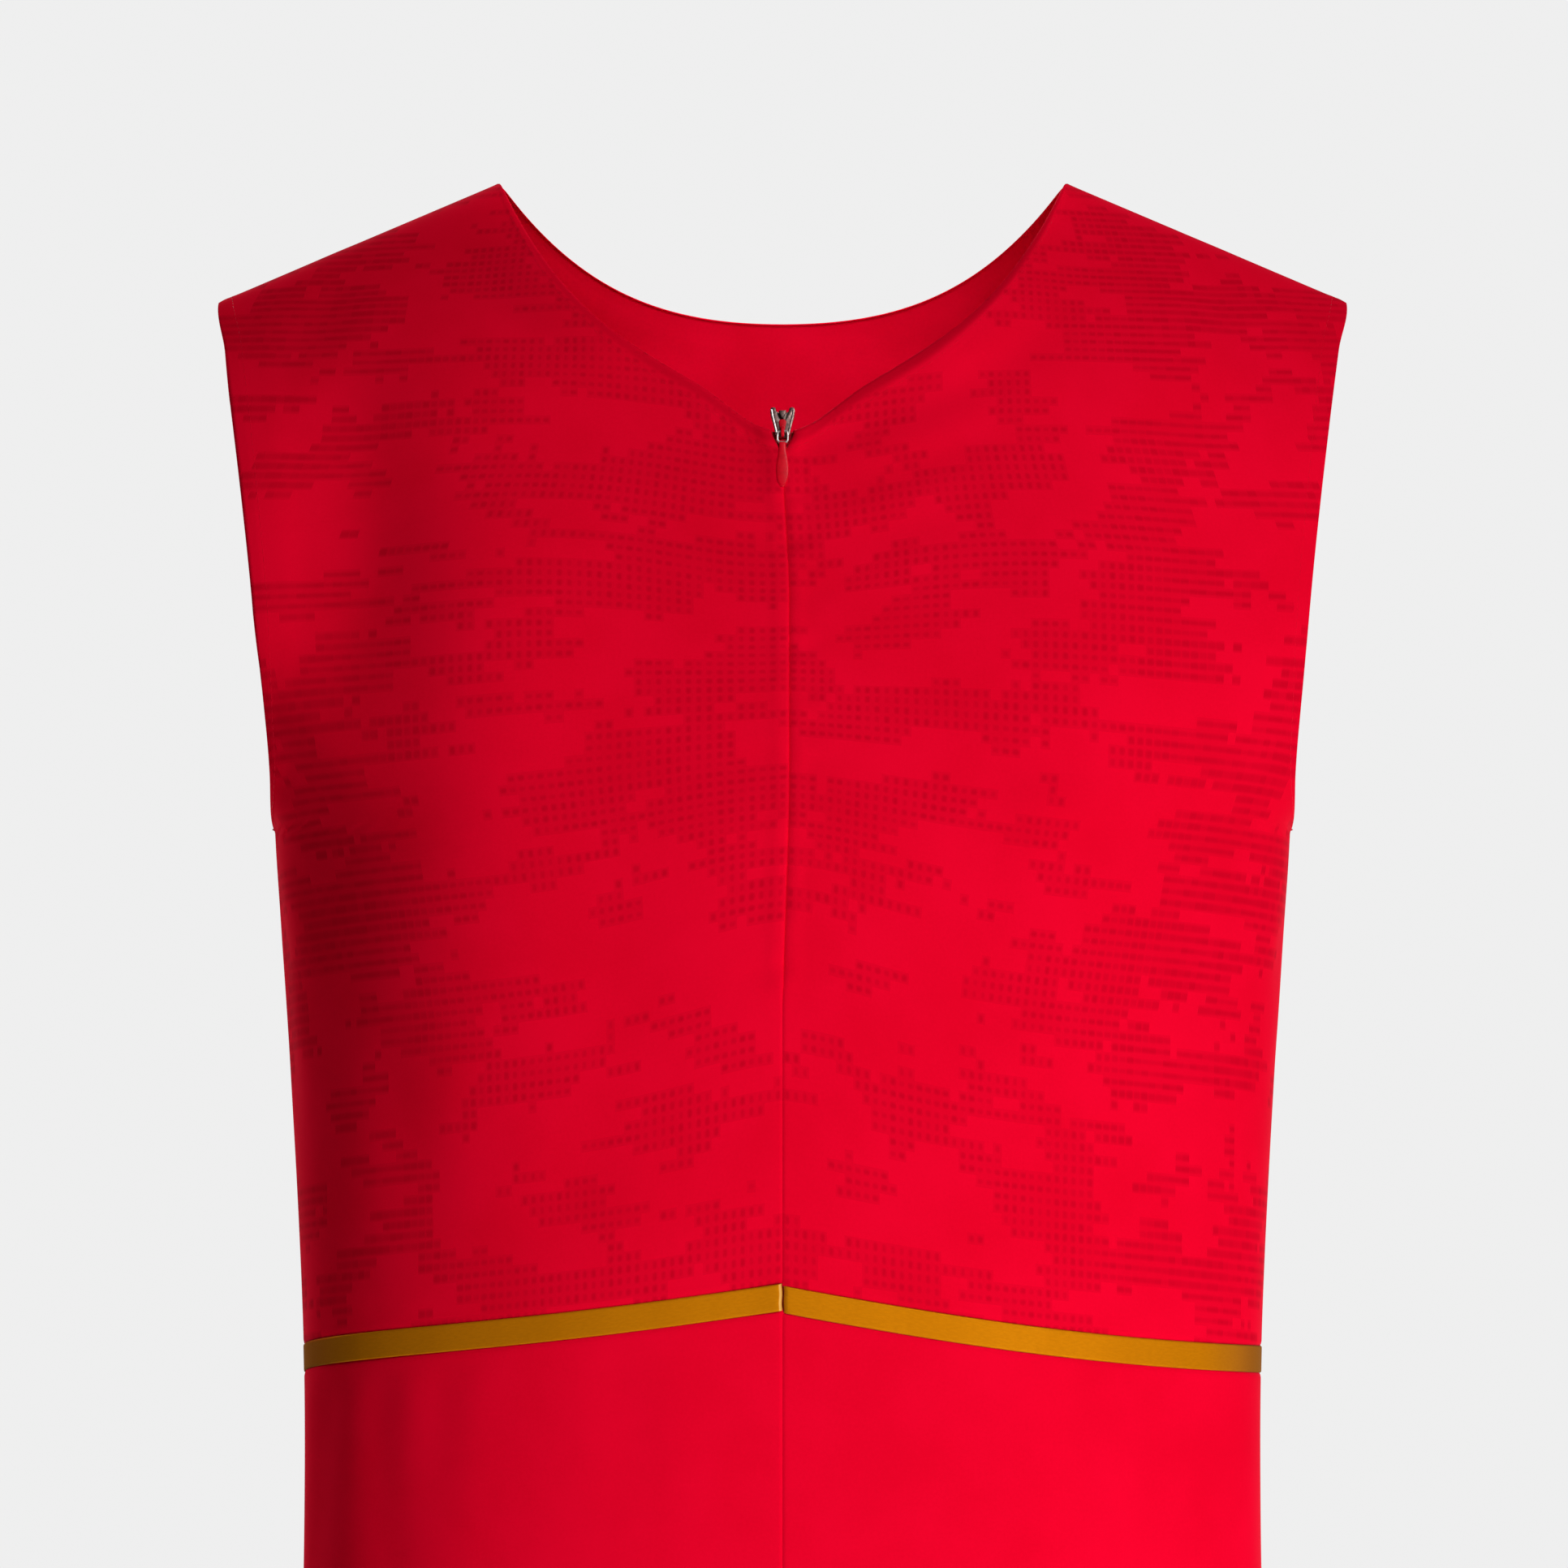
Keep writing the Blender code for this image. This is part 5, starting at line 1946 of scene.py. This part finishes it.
@dataclass
class Slider:
    """The slider: bare flanges round its throat, a lacquered shield and the bridge."""

    zip_frame: ZipFrame
    length: float = 10.8
    top_half: float = 4.2
    end_half: float = 2.4
    cloth_wall: float = 1.2
    plate_wall: float = 0.9
    proud: float = 0.3
    layer_gap: float = 0.3
    tape_wall: float = 1.0
    spine_width: float = 1.2

    def shield(self, inset: float) -> list[tuple[float, float]]:
        """Right half of a plate's outer edge, from its narrow end up to its horn."""
        half = self.length / 2 - inset
        top, end = self.top_half - inset, self.end_half - inset
        tail = [(end - 0.5, -half), (end, -half + 0.6), (end + 0.15, -half + 2.4)]
        return tail + [(top - 0.85, 0.6), (top, half - 2.0)]

    def closed_head(self, inset: float) -> list[tuple[float, float]]:
        """Outline of the back plate, with a shallow dip between its horns."""
        half = self.length / 2 - inset
        right = self.shield(inset) + [(self.top_half - inset - 0.4, half - 0.4)]
        dip = [(x, half - 1.1 * math.cos(math.pi / 2 * x / 3)) for x in (2.6, 1.8, 0.9)]
        side = right + dip
        return side + [(0, half - 1.1)] + [(-x, y) for x, y in reversed(side)]

    def forked_head(self, inset: float) -> list[tuple[float, float]]:
        """Outline of the front plate: two arms that leave the throat open between them."""
        half = self.length / 2 - inset
        horn = [(self.top_half - 0.1 - inset, half - 0.35), (self.top_half - 0.6, half), (2.45, half - 0.1)]
        throat = [(2.15, half - 1.2), (1.35, 1.9), (0.75, 0.9)]
        side = self.shield(inset) + horn + throat
        return side + [(0, 0.6)] + [(-x, y) for x, y in reversed(side)]

    def flange(self, sign: int, low: float) -> list[Vector]:
        """Centre line of the raised edge on one side."""
        half = self.length / 2
        top, end = self.top_half, self.end_half
        knots = [(top - 0.40, half - 0.9), (top - 0.62, half - 2.6), (top - 1.15, 0.5)]
        knots += [(end - 0.10, -half + 2.6), (end - 0.32, -half + 0.9)]
        return [Vector((sign * x, y, low)) for x, y in knots]

    def pieces(self, wardrobe: Wardrobe) -> list[Object]:
        """Builds the slider's solids."""
        matrix = self.zip_frame.slider()
        top = self.proud + self.plate_wall - self.cloth_wall
        low = top - self.plate_wall
        back_top = -(self.cloth_wall + self.layer_gap + self.tape_wall + self.layer_gap)
        half = self.length / 2
        spine = [(0.55, -half + 0.5), (0.85, -2.6), (1.30, 0.1), (0.95, 0.75), (0, 1.0)]
        spine += [(-x, y) for x, y in reversed(spine[:-1])]
        wedge = [(-1.3, half - 0.8), (1.3, half - 0.8), (0.35, half - 3.6), (-0.35, half - 3.6)]
        front = plate(self.forked_head(0), low, top, 0.20)
        back = plate(self.closed_head(0.1), back_top - self.plate_wall, back_top, 0.22)
        # The plates and the wedge take zinc with painted shade, deepest in the throat.
        made = [
            place_solid("slider_front_plate", front, matrix, wardrobe[Look.DARK_METAL]),
            place_solid("slider_back_plate", back, matrix, wardrobe[Look.WORN_METAL]),
            place_solid("slider_spine", plate(spine, top - 0.1, top + 0.45, 0.2), matrix, wardrobe[Look.LACQUER]),
            place_solid("slider_wedge", plate(wedge, back_top, low, 0.15), matrix, wardrobe[Look.DARK_METAL]),
        ]
        # The flange on the wearer's left faces away from the key light and takes zinc with painted shade.
        for sign, side, look in ((-1, "right", wardrobe[Look.METAL]), (1, "left", wardrobe[Look.WORN_METAL])):
            wire = tube(self.flange(sign, top - 0.05), 0.42, 8, False)
            made.append(place_solid(f"slider_flange_{side}", wire, matrix, look))
        made.append(self.bridge(matrix, top, wardrobe))
        return made

    def bridge(self, matrix: Matrix, top: float, wardrobe: Wardrobe) -> Object:
        """The arched bridge that carries the pull tab."""
        reach = self.zip_frame.tunnel / 2 + 0.35
        path = []
        for i in range(13):
            turn = math.pi * i / 12
            along = -self.zip_frame.bridge_drop + (reach + 0.25) * math.cos(turn)
            rise = (self.zip_frame.tunnel + 0.55) * math.sin(turn) ** 0.7
            path.append(Vector((0, along, top - 0.2 + rise)))
        solid = tube(path, 0.42, 8, False)
        bmesh.ops.scale(solid, vec=(self.spine_width / 0.84, 1, 1), verts=solid.verts)
        return place_solid("slider_bridge", solid, matrix, wardrobe[Look.LACQUER])

    def dress(self, wardrobe: Wardrobe) -> None:
        """Builds the slider and lets it ride on the garment."""
        pieces = self.pieces(wardrobe)
        carry(pieces, "garment")
        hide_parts("zip_slider")
        LOG.info("slider: %d pieces", len(pieces))


@dataclass
class PullTab:
    """The pull tab: a wire link on the bridge and a domed, lacquered drop."""

    zip_frame: ZipFrame
    length: float = 20.2
    wire: float = 0.9
    link_half: float = 2.2
    link_hole: float = 3.0
    neck_half: float = 1.1
    half: float = 2.2
    tip_share: float = 2.6
    wall: float = 1.2
    lean: float = math.radians(1.6)

    def half_width(self, along: float) -> float:
        """Half width of the drop, from its neck to its widest."""
        return mix(self.neck_half, self.half, math.sin(math.pi / 2 * min(max(along, 0), 1)) ** 2)

    def drop_outline(self, inset: float) -> list[tuple[float, float]]:
        """Outline of the drop, drawn in by an inset."""
        top = -self.wire / 2 - self.link_hole - 0.35
        low = self.wire / 2 - self.length
        tip = self.half * self.tip_share
        centre = low + tip
        side = []
        for i in range(11):
            along = i / 10
            side.append((self.half_width(along) - inset, mix(top - inset, centre, along)))
        for i in range(1, 9):
            turn = math.pi / 2 * i / 9
            side.append(((self.half - inset) * math.cos(turn), centre - (tip - inset) * math.sin(turn)))
        return side + [(0, low + inset)] + [(-x, y) for x, y in reversed(side)]

    def drop(self) -> bmesh.types.BMesh:
        """The drop, domed on both faces."""
        half = self.wall / 2
        levels = [(0.0, 0.45), (0.14, 0.68), (0.40, 0.88), (0.75, 1.0)]
        stack = [(inset, -rise * half) for inset, rise in reversed(levels)]
        stack += [(inset, rise * half) for inset, rise in levels]
        return skin([[(x, y, z) for x, y in self.drop_outline(inset)] for inset, z in stack], False)

    def link_path(self) -> list[Vector]:
        """Centre line of the wire link, a loop with round corners."""
        half = self.link_half - self.wire / 2
        tall = self.link_hole + self.wire
        corner = 0.95
        path = []
        for cx, cy, start in (
            (half - corner, -corner, 0),
            (-half + corner, -corner, 90),
            (-half + corner, -tall + corner, 180),
            (half - corner, -tall + corner, 270),
        ):
            for i in range(5):
                turn = math.radians(start + 22.5 * i)
                path.append(Vector((cx + corner * math.cos(turn), cy + corner * math.sin(turn), 0)))
        return path

    def dress(self, wardrobe: Wardrobe) -> None:
        """Builds the pull tab and lets it ride on its own body."""
        matrix = self.zip_frame.pivot() @ Matrix.Rotation(self.lean, 4, "X")
        pieces = [
            place_solid("pull_tab_drop", self.drop(), matrix, wardrobe[Look.LACQUER]),
            place_solid("pull_tab_link", tube(self.link_path(), self.wire / 2 * 0.9, 8, True), matrix, wardrobe[Look.METAL]),
        ]
        carry(pieces, "pull_tab")
        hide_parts("pull_tab")
        LOG.info("pull tab: %d pieces", len(pieces))


# ---------------------------------------------------------------- studio


@dataclass(frozen=True)
class SoftLight:
    """A rectangular soft light, aimed at a point of the garment."""

    name: str
    azimuth: float
    elevation: float
    distance_m: float
    wide_m: float
    tall_m: float
    watts: float
    target_m: tuple[float, float, float] = (0, 0, -0.30)
    spread: float = 180

    def build(self) -> None:
        """Places the light; azimuth 0 is straight in front, and 90 on the wearer's left."""
        data = bpy.data.lights.new(self.name, "AREA")
        data.shape = "RECTANGLE"
        data.size = self.wide_m
        data.size_y = self.tall_m
        data.energy = self.watts
        data.spread = math.radians(self.spread)
        made = linked(self.name, data)
        azimuth, elevation = math.radians(self.azimuth), math.radians(self.elevation)
        level = math.cos(elevation)
        way = Vector((math.sin(azimuth) * level, -math.cos(azimuth) * level, math.sin(elevation)))
        made.location = Vector(self.target_m) + way * self.distance_m
        made.rotation_euler = way.to_track_quat("Z", "Y").to_euler()
        made.visible_camera = False


@dataclass
class Studio:
    """Plain pale floor, soft lights, a pale surround and the camera."""

    view_width_m: float = 0.5506
    view_distance_m: float = 3.0
    view_x_m: float = 0.0005
    view_height_m: float = -0.2091
    sensor: float = 36
    floor_height_m: float = -1.40
    floor_radius_m: float = 1.6
    surround_front: float = 0.012
    surround_back: float = 0.20
    backdrop: float = 0.862
    lights: tuple[SoftLight, ...] = (
        SoftLight("key", 23.5, -33, 1.0, 0.9, 0.9, 5.1),
        SoftLight("side_key", 60, -30, 1.4, 0.9, 0.9, 3.4),
        SoftLight("fill", 29, 37, 3.0, 1.0, 0.8, 48.5),
        SoftLight("rim_right", -135, 12, 1.6, 0.6, 0.9, 15.5),
        SoftLight("rim_left", 127, -8, 1.6, 0.8, 1.2, 11.5),
        SoftLight("back_key", 168, 48, 2.0, 0.5, 0.5, 7.0),
        SoftLight("neck_fill", 0, 41, 0.19, 0.16, 0.06, 0.036, (0, 0.075, -0.065), 70),
    )

    def camera(self) -> None:
        """A level camera in front, framed on the chest and the waist."""
        data = bpy.data.cameras.new("front_camera")
        data.sensor_width = self.sensor
        data.lens = self.sensor * self.view_distance_m / self.view_width_m
        data.clip_end = 50
        made = linked("front_camera", data)
        made.location = (self.view_x_m, -self.view_distance_m, self.view_height_m)
        made.rotation_euler = (math.pi / 2, 0, 0)
        bpy.context.scene.camera = made

    def surround(self) -> None:
        """A pale surround that is bright behind the garment and dim in front of it."""
        world = bpy.data.worlds.new("surround")
        bpy.context.scene.world = world
        graph = Graph(world)
        place = graph.node("ShaderNodeTexCoord").outputs["Generated"]
        strength = graph.ramp(graph.split(place)[1], 0.2, 0.8, self.surround_front, self.surround_back)
        light = graph.node("ShaderNodeBackground", {"Color": (1, 1, 1, 1), "Strength": strength})
        seen = graph.node("ShaderNodeBackground", {"Color": (self.backdrop,) * 3 + (1,)})
        is_seen = graph.node("ShaderNodeLightPath").outputs["Is Camera Ray"]
        choice = graph.node("ShaderNodeMixShader", {0: is_seen, 1: light.outputs[0], 2: seen.outputs[0]})
        graph.node("ShaderNodeOutputWorld", {"Surface": choice.outputs[0]})

    def floor(self, look: Material) -> None:
        """The pale floor that a wearer would stand on."""
        turns = np.linspace(0, math.tau, 96, endpoint=False)
        places = np.stack([np.cos(turns), np.sin(turns), 0 * turns], axis=1) * self.floor_radius_m
        places[:, 2] = self.floor_height_m
        mesh = bpy.data.meshes.new("studio_floor")
        mesh.from_pydata(places.tolist(), [], [tuple(range(len(places)))])
        mesh.materials.append(look)
        linked("studio_floor", mesh)

    def build(self, wardrobe: Wardrobe) -> None:
        """Builds the whole studio."""
        self.camera()
        for light in self.lights:
            light.build()
        self.surround()
        self.floor(wardrobe[Look.FLOOR])
        bpy.context.scene.view_settings.view_transform = "Standard"


# ---------------------------------------------------------------- the garment


def main() -> None:
    """Builds the studio and dresses every piece of the bodysuit."""
    logging.basicConfig(level=logging.INFO, format="%(name)s: %(message)s")
    wardrobe = {look: look.value.material() for look in Look}
    Studio().build(wardrobe)
    form = BodyForm()
    creases = CreaseBook()
    sizes = Zip()
    for side in Side:
        front = FrontUpper(form, creases, Face.FRONT, side, zip=sizes)
        front.dress(wardrobe)
        ZipTape(front, front.surface()).dress(wardrobe)
        WaistBand(form, side).dress(wardrobe)
        for face in Face:
            LowerPanel(form, creases, face, side).dress(wardrobe)
    BackUpper(form, creases, Face.BACK, Side.LEFT).dress(wardrobe)
    zip_frame = ZipFrame(form)
    Slider(zip_frame).dress(wardrobe)
    PullTab(zip_frame).dress(wardrobe)


if __name__ == "__main__":
    main()
